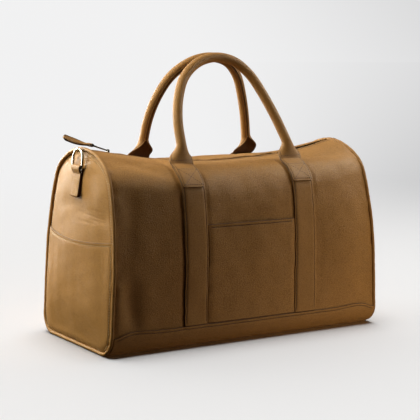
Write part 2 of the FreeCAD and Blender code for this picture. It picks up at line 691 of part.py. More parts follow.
def funnel(side):
    """Strip that curls from the flat bend line, side by side with the tab, into the roll."""
    foot = (side * STRAP_X, FUNNEL_START)
    neck, beyond = (HANDLE_ROUTE[0], HANDLE_ROUTE[1]) if side < 0 else (HANDLE_ROUTE[-1], HANDLE_ROUTE[-2])
    heading = math.atan2(beyond[0] - neck[0], beyond[1] - neck[1])
    neck = (neck[0] - NECK_GAP * math.sin(heading), neck[1] - NECK_GAP * math.cos(heading))
    middle = (neck[0] - NECK_LEAD * math.sin(heading), neck[1] - NECK_LEAD * math.cos(heading))
    wires = []
    for share in FUNNEL_SHARES:
        x = (1 - share)**2 * foot[0] + 2 * share * (1 - share) * middle[0] + share**2 * neck[0]
        up = (1 - share)**2 * foot[1] + 2 * share * (1 - share) * middle[1] + share**2 * neck[1]
        turn = heading * share
        curl = CURL_START + (CURL_END - CURL_START) * share**CURL_POWER
        radius = ROLL_RADIUS if share == 1.0 else TAB_WIDTH / 2 / curl
        back = FUNNEL_BACK + (ROLL_RADIUS - FUNNEL_BACK) * share

        def around(reach, angle):
            wide = reach * math.sin(angle)
            return handle_point(x + wide * math.cos(turn), up - wide * math.sin(turn),
                                back - radius + reach * math.cos(angle))

        angles = [curl * (2.0 * i / 14 - 1.0) for i in range(15)]
        wires.append(strip_wire([around(radius, angle) for angle in angles],
                                [around(radius - FUNNEL_THICK, angle) for angle in angles]))
    return Part.makeLoft(wires, True, False)


def handle():
    """Front handle: the leather roll and, end to end with it, the two funnels that it opens into."""
    roll = handle_tube(ROLL_RADIUS).cut(handle_tube(ROLL_CORE))
    return Part.makeCompound([roll, funnel(-1), funnel(1)])


# ---- write every piece ---------------------------------------------------------------------------
FRONT_PIECES = {"panel": side_panel(), "handle": handle(), "handle_core": handle_tube(ROLL_CORE - CORE_FIT),
                "lining": side_lining(), "right_strap": strap(), "right_handle_tab": handle_tab()}
FRONT_PIECES["left_strap"] = mirrored(FRONT_PIECES["right_strap"])
FRONT_PIECES["left_handle_tab"] = mirrored(FRONT_PIECES["right_handle_tab"])
for name, piece in FRONT_PIECES.items():
    save("front_" + name, piece)
    save("back_" + name, backed(piece))

RIGHT_PIECES = {"end_panel": end_panel(), "end_pocket": end_pocket(), "end_lining": end_lining(),
                "piping": piping_tube(PIPING_RADIUS).cut(piping_tube(PIPING_CORD + CORD_FIT)),
                "piping_cord": piping_tube(PIPING_CORD), "d_ring": d_ring(), "ring_tab": ring_tab()}
for name, piece in RIGHT_PIECES.items():
    save("right_" + name, piece)
    save("left_" + name, mirrored(piece))

save("base_panel", base_panel())
save("base_board", slab(-BOARD_HALF_LENGTH, BOARD_HALF_LENGTH, -BOARD_HALF_WIDTH, BOARD_HALF_WIDTH,
                        PROFILE_BOTTOM + BOARD_GAP, PROFILE_BOTTOM + BOARD_GAP + BOARD_THICK))
save("front_pocket", front_pocket())
save("front_zip_tape", zip_tape())
save("back_zip_tape", backed(zip_tape()))
save("front_zip_teeth", zip_teeth(0.0))
save("back_zip_teeth", backed(zip_teeth(TOOTH_PITCH / 2)))
save("zip_stops", zip_stops())
save("zip_slider", zip_slider())
save("zip_puller", zip_puller())
save("leather_pull", leather_pull())
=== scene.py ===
import json
import math

import bpy
import numpy as np
from mathutils import Matrix, Vector


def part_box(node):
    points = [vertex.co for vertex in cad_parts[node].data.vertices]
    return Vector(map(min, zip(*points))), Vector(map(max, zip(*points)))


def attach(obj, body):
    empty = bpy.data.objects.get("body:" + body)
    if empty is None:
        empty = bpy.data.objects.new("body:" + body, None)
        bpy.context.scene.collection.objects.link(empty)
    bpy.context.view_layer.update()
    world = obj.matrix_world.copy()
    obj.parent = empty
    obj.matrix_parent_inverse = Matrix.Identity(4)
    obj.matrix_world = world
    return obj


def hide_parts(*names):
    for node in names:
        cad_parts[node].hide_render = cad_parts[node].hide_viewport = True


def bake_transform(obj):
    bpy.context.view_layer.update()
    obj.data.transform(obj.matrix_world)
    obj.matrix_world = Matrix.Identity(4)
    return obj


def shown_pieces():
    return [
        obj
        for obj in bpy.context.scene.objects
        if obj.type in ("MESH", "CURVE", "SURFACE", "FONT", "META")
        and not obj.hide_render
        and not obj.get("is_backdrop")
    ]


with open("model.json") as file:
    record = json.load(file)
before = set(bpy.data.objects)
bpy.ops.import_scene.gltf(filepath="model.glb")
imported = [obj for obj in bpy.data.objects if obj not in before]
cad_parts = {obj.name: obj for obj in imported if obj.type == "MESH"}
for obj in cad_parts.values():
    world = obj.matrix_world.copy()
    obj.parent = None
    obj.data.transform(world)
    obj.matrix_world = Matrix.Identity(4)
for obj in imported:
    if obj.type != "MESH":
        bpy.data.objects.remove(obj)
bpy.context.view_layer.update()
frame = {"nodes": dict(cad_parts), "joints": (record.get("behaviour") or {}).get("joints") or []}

# Leather duffel bag: looks. Metres, in the row frame. Every leather piece is a closed sheet of its own
# on the outline of the CAD body, and all the layers share one soft relief.

MM = 0.001

# ---- body outline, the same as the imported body's ----
JOINTS = {joint["name"]: joint for joint in frame["joints"]}
LEAN = 0.0455
HALF_LENGTH = 250 * MM
HALF_DEPTH = -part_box("front_panel")[0].y
PROFILE_BOTTOM = 2.3 * MM
CORNER = 30 * MM
SIDE_START = 110 * MM
SIDE_HALF = HALF_LENGTH - 3.5 * MM
END_ARCH = (463 * MM, 250 * MM, 60 * MM, 302.5 * MM)
MID_ARCH = (1100 * MM, 226 * MM, 58 * MM, 275.5 * MM)
ZIP_CENTRE = JOINTS["zip_travel"]["pos_m"][2]
ZIP_RADIUS = ZIP_CENTRE - MID_ARCH[3]
ZIP_SAG = END_ARCH[3] - MID_ARCH[3]
LAYER_GAP = 0.3 * MM
LAYER_TOP = 2.5 * MM       # outer face of a strap or of the base, from the outline
BAND_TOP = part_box("front_right_strap")[0].z - LAYER_GAP
BAND_TUCK = 10 * MM        # how far the panels reach down behind the base's band
ZIP_EDGE = 6.5 * MM        # the panels' edge at the zip
POCKET_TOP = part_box("front_pocket")[1].z
TAB_BOTTOM = 245 * MM
BEND_DEPTH = 68 * MM
END_CENTRE = 150 * MM
BULGE = 11 * MM
RIM_INSET = 4.2 * MM


def smooth(start, end, value):
    share = np.clip((value - start) / (end - start), 0.0, 1.0)
    return share * share * (3 - 2 * share)


def hump(value, width):
    return np.exp(-(value / width)**2)


def unit(vectors):
    return vectors / np.maximum(np.linalg.norm(vectors, axis=-1, keepdims=True), 1e-12)


def lengths(points):
    """Distance along a line of points, from its start."""
    return np.concatenate([[0.0], np.cumsum(np.linalg.norm(np.diff(points, axis=0), axis=1))])


def along_line(marks, along, points):
    """Points at those distances along a line."""
    return np.stack([np.interp(marks, along, column) for column in points.T], axis=-1)


def rounded_corner(radius, from_end):
    """How far a rounded corner takes the edge in, at a distance from the end."""
    return radius - np.sqrt(np.maximum(radius**2 - np.maximum(radius - from_end, 0)**2, 0))


def curved(start, middle, end, share):
    """Point at a share of the way along a curve that leans towards its middle point."""
    return (1 - share)**2 * start + 2 * share * (1 - share) * middle + share**2 * end


WAVES = 16                 # sine waves in a random field


def waves(points, length, seed):
    """Soft random field over points, about -1 to 1, with bumps about `length` across."""
    rng = np.random.default_rng(seed)
    ways = unit(rng.normal(size=(WAVES, 3))) * (2 * math.pi / length)
    ways = ways * rng.uniform(0.6, 1.5, (WAVES, 1))
    phases = rng.uniform(0, 2 * math.pi, WAVES)
    return np.sin(points @ ways.T + phases).sum(axis=-1) / math.sqrt(WAVES)


def arch(side_radius, side_top, shoulder_radius, crest):
    """Half outline from the middle of the base to the crest, as an array of (y, z)."""
    side_turn = math.asin((side_top - SIDE_START) / side_radius)
    along = side_radius - shoulder_radius
    side_y = HALF_DEPTH - side_radius
    shoulder_y = side_y + along * math.cos(side_turn)
    shoulder_z = SIDE_START + along * math.sin(side_turn)
    rise = shoulder_z - crest
    crown = (shoulder_radius**2 - shoulder_y**2 - rise**2) / (2 * (shoulder_radius + rise))
    reach = crown - shoulder_radius
    crown_turn = math.atan2((rise + crown) / reach, shoulder_y / reach)
    arcs = [(HALF_DEPTH - CORNER, PROFILE_BOTTOM + CORNER, CORNER, -math.pi / 2, 0.0, 60),
            (side_y, SIDE_START, side_radius, 0.0, side_turn, 90),
            (shoulder_y, shoulder_z, shoulder_radius, side_turn, crown_turn, 90),
            (0.0, crest - crown, crown, crown_turn, math.pi / 2, 80)]
    points = [[0.0, PROFILE_BOTTOM]]
    for y, z, radius, start, end, steps in arcs:
        for turn in np.linspace(start, end, steps + 1):
            points.append([y + radius * math.cos(turn), z + radius * math.sin(turn)])
    return np.array(points)


END_OUTLINE, MID_OUTLINE = arch(*END_ARCH), arch(*MID_ARCH)


class Outline:
    """The bag's cross-section at one station, -1 at the left end to 1 at the right end."""

    def __init__(self, station):
        self.station = station
        top_x = SIDE_HALF * station - LEAN * station**3 * END_ARCH[3]
        share = (ZIP_RADIUS - math.sqrt(ZIP_RADIUS**2 - top_x**2)) / ZIP_SAG
        points = MID_OUTLINE + (END_OUTLINE - MID_OUTLINE) * share
        steps = np.linalg.norm(np.diff(points, axis=0), axis=1)
        keep = np.concatenate([[True], steps > 1e-6])
        self.points = points[keep]
        self.along = lengths(self.points)
        tangents = unit(np.gradient(self.points, self.along, axis=0))
        self.turn = np.unwrap(np.arctan2(tangents[:, 1], tangents[:, 0]))
        self.widest = int(np.argmax(self.points[:, 0]))

    def at_height(self, z):
        top = int(np.argmax(self.points[:, 1])) + 1
        return float(np.interp(z, self.points[:top, 1], self.along[:top]))

    def at_depth(self, y):
        return float(np.interp(-y, -self.points[self.widest:, 0], self.along[self.widest:]))

    def place(self, marks):
        """Points and outward normals at distances along the outline, below zero on the front."""
        side = np.where(marks < 0, -1.0, 1.0)
        y, z = (np.interp(np.abs(marks), self.along, self.points[:, i]) for i in (0, 1))
        turn = np.interp(np.abs(marks), self.along, self.turn)
        x = SIDE_HALF * self.station - LEAN * self.station**3 * z
        points = np.stack([x, side * y, z], axis=-1)
        normals = np.stack([np.zeros_like(y), side * np.sin(turn), -np.cos(turn)], axis=-1)
        return points, normals


# ---- the leather's soft shape ----
# Folds and hollows in mm: middle, direction, half length, half width, height.
FOLDS = [
    ((-237, -112, 70), (0.1, 0, 1), 44, 11, 1.6),
    ((-214, -113, 68), (-0.16, 0, 1), 42, 14, -4.6),
    ((-168, -72, 279), (1, -0.42, -0.32), 46, 12, -2.8),
    ((-176, -46, 289), (1, -0.3, -0.2), 40, 11, 1.4),
    ((-212, -108, 205), (0.2, 0, 1), 55, 14, -2.2),
    ((-10, -96, 244), (1, 0, 0), 62, 20, -2.0),
    ((22, -112, 215), (1, 0, 0.1), 50, 12, 1.0),
    ((186, -112, 150), (0, 0, 1), 90, 30, 2.6),
    ((133, -112, 125), (0, 0, 1), 95, 8, -1.5),
    ((190, -78, 266), (1, 0.25, 0.1), 40, 14, 1.6),
    ((-206, 110, 90), (0.1, 0, 1), 50, 13, -2.6),
    ((170, 110, 130), (0.15, 0, 1), 70, 20, 2.2),
    ((20, 100, 236), (1, 0, 0.05), 70, 18, -2.2),
    ((205, 108, 80), (-0.2, 0, 1), 45, 12, -2.4),
    ((-40, 112, 120), (0.5, 0, 1), 60, 20, 1.8),
]
STRAP_X = 103.25 * MM
PIPING_REACH = 1.004


def fold_field(points, folds):
    total = np.zeros(points.shape[:-1])
    for middle, direction, half_length, half_width, height in folds:
        away = points - np.array(middle) * MM
        way = np.array(direction) / np.linalg.norm(direction)
        along = away @ way
        across = np.linalg.norm(away - along[..., None] * way, axis=-1)
        total += height * MM * hump(along, half_length * MM) * hump(across, half_width * MM)
    return total


def relief(points):
    """How far the leather of the body stands out from its outline, in metres."""
    x, z = np.abs(points[..., 0]), points[..., 2]
    seam = HALF_LENGTH - LEAN * z - x
    out = 1.1 * MM * waves(points, 0.17, 3) + 0.35 * MM * waves(points, 0.05, 5)
    out = (out + fold_field(points, FOLDS)) * smooth(-4 * MM, 12 * MM, seam)
    pucker = 0.2 + 0.2 * waves(points, 0.016, 8)
    out -= 2.6 * MM * pucker * hump(seam, 11 * MM)
    strap = np.abs(x - STRAP_X) - 22 * MM
    out -= 1.2 * MM * (1 + 0.3 * waves(points, 0.02, 9)) * hump(strap, 4.5 * MM)
    return out * smooth(14 * MM, 62 * MM, z)


def seam_height(x):
    """Height of the base band's top seam: it lifts a little and then drops at the piping."""
    x = abs(x)
    return BAND_TOP + 2.5 * MM * hump(x - 205 * MM, 26 * MM) - 5 * MM * smooth(222 * MM, 247 * MM, x)


def lines(length, step, edge, inset=0.0):
    """Shares across a sheet: even steps, with finer ones at both edges and at the stitching."""
    fine = [0.0, 0.1 * edge, 0.35 * edge, 0.7 * edge, edge]
    if inset:
        fine += [inset + shift * MM for shift in (-1.2, -0.6, 0.0, 0.6, 1.2)]
    count = max(2, round((length - 2 * fine[-1]) / step))
    middle = np.linspace(fine[-1], length - fine[-1], count + 1)[1:-1]
    return np.array(fine + list(middle) + [length - mark for mark in reversed(fine)]) / length


def centred(*values):
    """The same marks from -1 at one edge to 1 at the other."""
    return 2 * lines(*values) - 1


OUTLINES = {}


def body_grid(stations, shares, first, last):
    """Points on the soft body, rows along the outline and columns along the bag."""
    columns, normals = [], []
    for station in stations:
        key = round(float(station), 6)
        if key not in OUTLINES:
            OUTLINES[key] = Outline(key)
        outline = OUTLINES[key]
        start, end = first(outline), last(outline)
        points, normal = outline.place(start + (end - start) * shares)
        columns.append(points)
        normals.append(normal)
    points, normals = np.stack(columns, axis=1), np.stack(normals, axis=1)
    return points + normals * relief(points)[..., None], normals


def running(points, axis):
    """Distance along the grid lines, from the first line on that axis."""
    steps = np.linalg.norm(np.diff(points, axis=axis), axis=-1)
    pad = [(0, 0), (0, 0)]
    pad[axis] = (1, 0)
    return np.cumsum(np.pad(steps, pad), axis=axis)


def sample(grid, row, column):
    """Grid values at fractional rows and columns."""
    row = np.clip(row, 0, grid.shape[0] - 1.001)
    column = np.clip(column, 0, grid.shape[1] - 1.001)
    r, c = row.astype(int), column.astype(int)
    fr, fc = (row - r)[:, None], (column - c)[:, None]
    return ((grid[r, c] * (1 - fr) + grid[r + 1, c] * fr) * (1 - fc)
            + (grid[r, c + 1] * (1 - fr) + grid[r + 1, c + 1] * fr) * fc)


def make_mesh(name, points, faces, rim=None, kinds=None):
    """Mesh object that stores its resting place, and how near each point is to a rim."""
    mesh = bpy.data.meshes.new(name)
    mesh.from_pydata(points.tolist(), [], faces.tolist() if hasattr(faces, "tolist") else faces)
    mesh.polygons.foreach_set("use_smooth", [True] * len(mesh.polygons))
    if kinds is not None:
        mesh.polygons.foreach_set("material_index", kinds.astype(np.int32))
    rest = mesh.attributes.new("rest", "FLOAT_VECTOR", "POINT")
    rest.data.foreach_set("vector", points.astype(np.float32).ravel())
    if rim is not None:
        mesh.attributes.new("rim", "FLOAT", "POINT").data.foreach_set("value", rim.astype(np.float32))
    mesh.update()
    obj = bpy.data.objects.new(name, mesh)
    bpy.context.scene.collection.objects.link(obj)
    return obj


def quads(index, flip):
    faces = np.stack([index[:-1, :-1], index[:-1, 1:], index[1:, 1:], index[1:, :-1]], axis=-1)
    return faces.reshape(-1, 4)[:, ::-1] if flip else faces.reshape(-1, 4)


def wrapped(index):
    """The same grid with its first column again at the end."""
    return np.concatenate([index, index[:, :1]], axis=1)


def swell(near, edge):
    """Share of the full thickness, near a rounded edge."""
    return np.sqrt(1 - (1 - np.clip(near / edge, 0, 1))**2)


# How fast the rim lightening, partly wear and partly painted highlight, fades in from an edge.
RIM_FADE = 1.6 * MM
GROOVE_WIDTH = 0.9 * MM


class Sheet:
    """Closed sheet of leather on a grid of points, with rounded edges and stitching grooves.
    low and high are its two faces, measured from the grid; stitched names the sides with a groove."""

    def __init__(self, points, outward, low, high, edge, inset, stitched, groove=0.5 * MM):
        self.points, self.high, self.edge, self.inset = points, high, edge, inset
        normals = unit(np.cross(np.gradient(points, axis=0), np.gradient(points, axis=1)))
        row, column = len(points) // 2, points.shape[1] // 2
        self.flip = bool((normals[row, column] * outward).sum() < 0)
        self.normals = -normals if self.flip else normals
        across, down = running(points, 1), running(points, 0)
        self.reach = {"l": across, "r": across[:, -1:] - across, "b": down, "t": down[-1:] - down}
        self.near = np.minimum.reduce(list(self.reach.values()))
        share = swell(self.near, edge)
        cut = np.zeros_like(self.near)
        for side in stitched:
            others = np.minimum.reduce([self.reach[o] for o in "lrbt" if o != side])
            mask = smooth(inset - 1.5 * MM, inset, others)
            cut = np.maximum(cut, groove * mask * hump(self.reach[side] - inset, GROOVE_WIDTH))
        middle = (low + high) / 2
        self.outer = points + self.normals * (middle + (high - middle) * share - cut)[..., None]
        self.inner = points + self.normals * (middle + (low - middle) * share)[..., None]

    def build(self, name, flatten=None, cut="lrbt", inner_kind=0):
        """Make the piece; `cut` names sides with a cut edge, inner_kind the inner face's material."""
        rows, columns = self.near.shape
        outer = np.arange(rows * columns).reshape(rows, columns)
        inner = outer.copy()
        inner[1:-1, 1:-1] = rows * columns + np.arange((rows - 2) * (columns - 2)).reshape(rows - 2, -1)
        points = np.concatenate([self.outer.reshape(-1, 3), self.inner[1:-1, 1:-1].reshape(-1, 3)])
        if flatten is not None:
            points[:, 2] = np.maximum(points[:, 2], flatten)
        near = np.concatenate([self.near.ravel(), self.near[1:-1, 1:-1].ravel()])
        faces = np.concatenate([quads(outer, self.flip), quads(inner, not self.flip)])
        inner_faces = np.arange(len(faces)) >= len(faces) // 2
        to_cut = np.minimum.reduce([self.reach[side] for side in cut])
        to_cut = np.concatenate([to_cut.ravel(), to_cut[1:-1, 1:-1].ravel()])
        at_edge = to_cut[faces].max(axis=1) < 1.01 * self.edge
        kinds = np.where(at_edge, 1, np.where(inner_faces, inner_kind, 0))
        return make_mesh(name, points, faces, np.exp(-near / RIM_FADE), kinds)

    def side_line(self, side, inset, start=0.0, end=0.0):
        """Points and normals along one side, that far in from it."""
        upright = side in "lr"
        reach = self.reach[side] if upright else self.reach[side].T
        step = 1 if side in "lb" else -1
        marks = np.arange(reach.shape[1])[::step]
        inward = np.array([np.interp(inset, line[::step], marks) for line in reach])
        onward = np.arange(len(reach), dtype=float)
        return self.trimmed(*((onward, inward) if upright else (inward, onward)), start, end)

    def sew_sides(self, batch, sides, start, end=None, inset=None):
        """Stitch along these sides, leaving out a stretch at the start and at the end."""
        for side in sides:
            sew(batch, self.side_line(side, inset or self.inset, start, end or start))

    def spot(self, across, down):
        """Fractional row and column at a share of the width and a distance up from the bottom."""
        middle = self.near.shape[1] // 2
        row = np.interp(down, self.reach["b"][:, middle], np.arange(self.near.shape[0]))
        width = self.reach["l"][int(row)]
        return row, np.interp(across * width[-1], width, np.arange(len(width)))

    def straight(self, start, end):
        (r0, c0), (r1, c1) = self.spot(*start), self.spot(*end)
        share = np.linspace(0, 1, 60)
        return self.trimmed(r0 + (r1 - r0) * share, c0 + (c1 - c0) * share, 0.0, 0.0)

    def trimmed(self, row, column, start, end):
        points = sample(self.points + self.normals * self.high, row, column)
        normals = unit(sample(self.normals, row, column))
        along = lengths(points)
        keep = (along >= start) & (along <= along[-1] - end)
        return points[keep], normals[keep]


class Batch:
    """Many copies of small templates, joined into one piece."""

    def __init__(self):
        self.parts, self.count = [], 0

    def add(self, points, faces, kind=0):
        self.parts.append((points, faces + self.count, np.full(len(faces), kind)))
        self.count += len(points)

    def build(self, name):
        points, faces, kinds = (np.concatenate(values) for values in zip(*self.parts))
        return make_mesh(name, points, faces, kinds=kinds)


def blob(rings, sides, power=1.0):
    """Unit ball as (points, quads); a power below 1 squares it off towards a rounded block."""
    def squared(value):
        return np.sign(value) * np.abs(value)**power

    tilt = np.linspace(-math.pi / 2 + 0.02, math.pi / 2 - 0.02, rings)
    turn = np.arange(sides) * 2 * math.pi / sides
    x = np.repeat(squared(np.sin(tilt))[:, None], sides, axis=1)
    y = squared(np.cos(tilt))[:, None] * squared(np.cos(turn))[None]
    z = squared(np.cos(tilt))[:, None] * squared(np.sin(turn))[None]
    points = np.stack([x, y, z], axis=-1).reshape(-1, 3)
    return points, quads(wrapped(np.arange(rings * sides).reshape(rings, sides)), True)


STITCH, STITCH_FACES = blob(6, 6)
# Dark blobs put in the needle holes as painted shade.
SHADE_DOT, SHADE_DOT_FACES = blob(4, 6)


def resampled(points, normals, pitch):
    """Even spots along a line, each with its direction and its outward normal."""
    along = lengths(points)
    count = max(1, int(along[-1] / pitch))
    marks = (np.arange(count) + 0.5) * along[-1] / count
    spots = along_line(marks, along, points)
    before, after = (along_line(marks + shift * pitch, along, points) for shift in (-0.3, 0.3))
    return spots, unit(after - before), unit(along_line(marks, along, normals))


RNG = np.random.default_rng(11)


def sew(batch, line, pitch=4.0 * MM, length=2.9 * MM, width=1.05 * MM, sink=0.28 * MM):
    """Row of stitches, each a small pad of thread between two needle holes; each hole is a dark blob of
    painted shade.
    """
    spots, ways, ups = resampled(*line, pitch)
    for spot, way, up in zip(spots, ways, ups):
        aside = np.cross(up, way)
        way = unit(way + aside * RNG.normal(0, 0.05))
        half = length * RNG.uniform(0.46, 0.52)
        bow = 0.34 * MM * (1 - STITCH[:, :1]**2)
        points = (spot + way * STITCH[:, :1] * half + np.cross(up, way) * STITCH[:, 1:2] * width * 0.5
                  + up * (STITCH[:, 2:] * width * 0.36 + bow - sink))
        batch.add(points, STITCH_FACES)
        hole = spot + way * (half + 0.35 * MM) - up * sink
        for axis, reach, column in ((way, 0.6, 0), (aside, 0.65, 1), (up, 0.16, 2)):
            hole = hole + axis * SHADE_DOT[:, column:column + 1] * reach * MM
        batch.add(hole, SHADE_DOT_FACES, 1)


# ---- materials ----
class Nodes:
    """Short way to build a procedural material, or a world's background."""

    def __init__(self, name, world=None):
        if world:
            self.tree = world.node_tree
            self.tree.nodes.clear()
            return
        self.material = bpy.data.materials.new(name)
        self.material.use_nodes = True
        self.tree = self.material.node_tree
        self.shader = self.tree.nodes["Principled BSDF"]
        rest = self.add("Attribute", attribute_name="rest")
        self.rest = rest.outputs["Vector"]

    def add(self, kind, **values):
        node = self.tree.nodes.new("ShaderNode" + kind)
        for key, value in values.items():
            setattr(node, key, value)
        return node

    def link(self, output, socket):
        self.tree.links.new(output, socket)

    def feed(self, socket, value):
        if isinstance(value, bpy.types.NodeSocket):
            self.link(value, socket)
        else:
            socket.default_value = value

    def set(self, node, **sockets):
        for key, value in sockets.items():
            self.feed(node.inputs[key.replace("_", " ")], value)
        return node

    def vector_maths(self, operation, *values):
        node = self.add("VectorMath", operation=operation)
        for socket, value in zip(node.inputs, values):
            self.feed(socket, value)
        return node

    def use_object_space(self):
        self.rest = self.add("TexCoord").outputs["Object"]

    def noise(self, scale, detail, roughness=0.55, vector=None):
        node = self.set(self.add("TexNoise"), Scale=scale, Detail=detail, Roughness=roughness,
                        Vector=vector or self.rest)
        return node.outputs["Fac"]

    def cells(self, scale, vector):
        """Distance from the border of random cells."""
        node = self.add("TexVoronoi", feature="DISTANCE_TO_EDGE")
        return self.set(node, Scale=scale, Vector=vector).outputs["Distance"]

    def warped(self, scale, amount):
        noise = self.set(self.add("TexNoise"), Scale=scale, Detail=2.0, Vector=self.rest)
        centred = self.vector_maths("SUBTRACT", noise.outputs["Color"], (0.5, 0.5, 0.5)).outputs[0]
        scaled = self.set(self.vector_maths("SCALE", centred), Scale=amount).outputs[0]
        return self.vector_maths("ADD", self.rest, scaled).outputs[0]

    def between(self, value, low, high, to_low=0.0, to_high=1.0):
        node = self.add("MapRange", interpolation_type="SMOOTHSTEP")
        self.set(node, Value=value, From_Min=low, From_Max=high, To_Min=to_low, To_Max=to_high)
        return node.outputs[0]

    def maths(self, operation, a, b):
        node = self.add("Math", operation=operation)
        for socket, value in zip(node.inputs, (a, b)):
            self.feed(socket, value)
        return node.outputs[0]

    def mixed(self, share, a, b):
        node = self.add("Mix", data_type="RGBA")
        for index, value in ((0, share), (6, a), (7, b)):
            self.feed(node.inputs[index], (*value, 1.0) if isinstance(value, tuple) else value)
        return node.outputs[2]

    def blended(self, share, shader, other):
        node = self.add("MixShader")
        for socket, output in zip(node.inputs, (share, shader.outputs[0], other.outputs[0])):
            self.link(output, socket)
        return node.outputs[0]

    def bump(self, height, distance, strength, below=None):
        node = self.set(self.add("Bump"), Height=height, Distance=distance, Strength=strength)
        if below is not None:
            self.link(below, node.inputs["Normal"])
        return node.outputs[0]

    def finish(self, **sockets):
        self.set(self.shader, **sockets)
        return self.material


def shade(colour, factor):
    return tuple(channel * factor for channel in colour)


TAN = (0.42, 0.206, 0.056)


def leather(name, colour, pebble=2.3, strength=1.0, rough=0.5, rim_wear_and_highlight=0.25):
    """Pebbled leather: cells with creases between them painted darker as shade, fine pores, cloudy
    colour, and rims lightened for wear and as a painted highlight.
    """
    n = Nodes(name)
    warp = n.warped(260.0, 0.0011)
    crease = n.between(n.cells(1000.0 / pebble, warp), 0.0, 0.22)
    small = n.between(n.cells(1000.0 / (pebble * 0.55), warp), 0.0, 0.25)
    pore = n.noise(2600.0, 2.0)
    patch = n.noise(70.0, 3.0)
    cloud = n.noise(14.0, 4.0, 0.6)
    strong = n.between(patch, 0.3, 0.7, 0.55, 1.0)
    height = n.maths("ADD", n.maths("MULTIPLY", crease, strong), n.maths("MULTIPLY", small, 0.35))
    coarse = n.bump(height, 0.00022, strength)
    fine = n.bump(pore, 0.00005, 0.6 * strength, coarse)
    soft = n.bump(n.noise(170.0, 2.0), 0.0004, 0.35 * strength, fine)
    tone = n.mixed(n.between(cloud, 0.25, 0.75), shade(colour, 0.95), shade(colour, 1.05))
    deeper = (colour[0] * 0.86, colour[1] * 0.80, colour[2] * 0.74)
    tone = n.mixed(n.between(patch, 0.35, 0.75, 0.0, 0.25), tone, deeper)
    # Painted shade: the creases between the pebbles are darkened, down to 0.4 of the colour.
    crease_shade = n.maths("MULTIPLY", n.maths("SUBTRACT", 1.0, crease), 0.55)
    tone = n.mixed(crease_shade, tone, shade(colour, 0.4))
    # Rims lighter, partly for wear and partly as a painted highlight along every edge.
    rim = n.add("Attribute", attribute_name="rim").outputs["Fac"]
    tone = n.mixed(n.maths("MULTIPLY", rim, n.between(patch, 0.3, 0.7, 0.5 * rim_wear_and_highlight, rim_wear_and_highlight)), tone,
                   (colour[0] * 1.35, colour[1] * 1.4, colour[2] * 1.55))
    gloss = n.maths("ADD", n.noise(45.0, 3.0), n.maths("MULTIPLY", crease, -0.25))
    roughness = n.between(gloss, 0.05, 0.7, rough - 0.07, rough + 0.12)
    return n.finish(Base_Color=tone, Roughness=roughness, Normal=soft, Specular_IOR_Level=0.34,
                    IOR=1.46, Sheen_Weight=0.03, Sheen_Roughness=0.5)


def painted_edge(name, colour):
    """Cut leather edge, sealed with edge paint: slightly ribbed, with rubbed spots."""
    n = Nodes(name)
    rub = n.noise(240.0, 4.0)
    tone = n.mixed(n.between(rub, 0.45, 0.75), colour, shade(colour, 1.7))
    ribs = n.bump(n.noise(900.0, 3.0), 0.00012, 0.6)
    return n.finish(Base_Color=tone, Roughness=n.between(rub, 0.3, 0.7, 0.55, 0.75), Normal=ribs,
                    Specular_IOR_Level=0.25)


def thread(name, colour):
    """Waxed thread: twisted strands and a little fuzz."""
    n = Nodes(name)
    strands = n.set(n.add("TexWave", wave_type="BANDS", bands_direction="DIAGONAL"), Scale=420.0,
                    Distortion=1.5, Detail=2.0, Vector=n.rest).outputs["Fac"]
    tone = n.mixed(n.between(strands, 0.2, 0.8, 0.0, 0.6), shade(colour, 1.1), shade(colour, 0.7))
    tone = n.mixed(n.between(n.noise(120.0, 2.0), 0.4, 0.7, 0.0, 0.4), tone, shade(colour, 0.8))
    return n.finish(Base_Color=tone, Roughness=0.62, Normal=n.bump(strands, 0.0001, 0.7),
                    Sheen_Weight=0.15)


def plain(name, colour, rough, scale, distance):
    """Simple finish with a grain, cloudy colour and uneven gloss."""
    n = Nodes(name)
    n.use_object_space()
    grain = n.noise(scale, 4.0)
    cloud = n.noise(scale * 0.05, 3.0)
    tone = n.mixed(n.between(cloud, 0.3, 0.7), shade(colour, 0.85), shade(colour, 1.15))
    return n.finish(Base_Color=tone, Roughness=n.between(cloud, 0.3, 0.7, rough * 0.8, rough * 1.25),
                    Normal=n.bump(grain, distance, 0.5))


def metal(name, colour, rough):
    """Polished nickel: fine scratches, rubbed patches and softened edges."""
    n = Nodes(name)
    n.use_object_space()
    stretched = n.set(n.add("Mapping"), Vector=n.rest, Scale=(1.0, 0.12, 1.0)).outputs[0]
    scratch = n.noise(5200.0, 3.0, 0.7, vector=stretched)
    patch = n.noise(210.0, 4.0)
    tone = n.mixed(n.between(patch, 0.4, 0.75, 0.0, 0.5), colour, shade(colour, 0.72))
    rounded = n.set(n.add("Bevel", samples=4), Radius=0.00035).outputs[0]
    return n.finish(Base_Color=tone, Metallic=1.0,
                    Roughness=n.maths("ADD", n.between(patch, 0.3, 0.8, rough, rough + 0.14),
                                      n.between(scratch, 0.55, 0.8, 0.0, 0.1)),
                    Normal=n.bump(scratch, 0.00001, 0.25, rounded))


def woven(name, colour, pitch):
    """Woven cloth: warp and weft bands with slubs."""
    n = Nodes(name)
    n.use_object_space()
    warp = n.warped(500.0, 0.0002)
    bands = [n.set(n.add("TexWave", wave_type="BANDS", bands_direction=way), Scale=0.16 / pitch,
                   Distortion=0.4, Vector=warp).outputs["Fac"] for way in ("X", "DIAGONAL")]
    weave = n.maths("MAXIMUM", *bands)
    tone = n.mixed(n.between(weave, 0.3, 0.9), shade(colour, 0.55), shade(colour, 1.15))
    tone = n.mixed(n.between(n.noise(90.0, 3.0), 0.4, 0.7, 0.0, 0.4), tone, shade(colour, 0.75))
    return n.finish(Base_Color=tone, Roughness=0.85, Normal=n.bump(weave, 0.00015, 0.8),
                    Sheen_Weight=0.2)


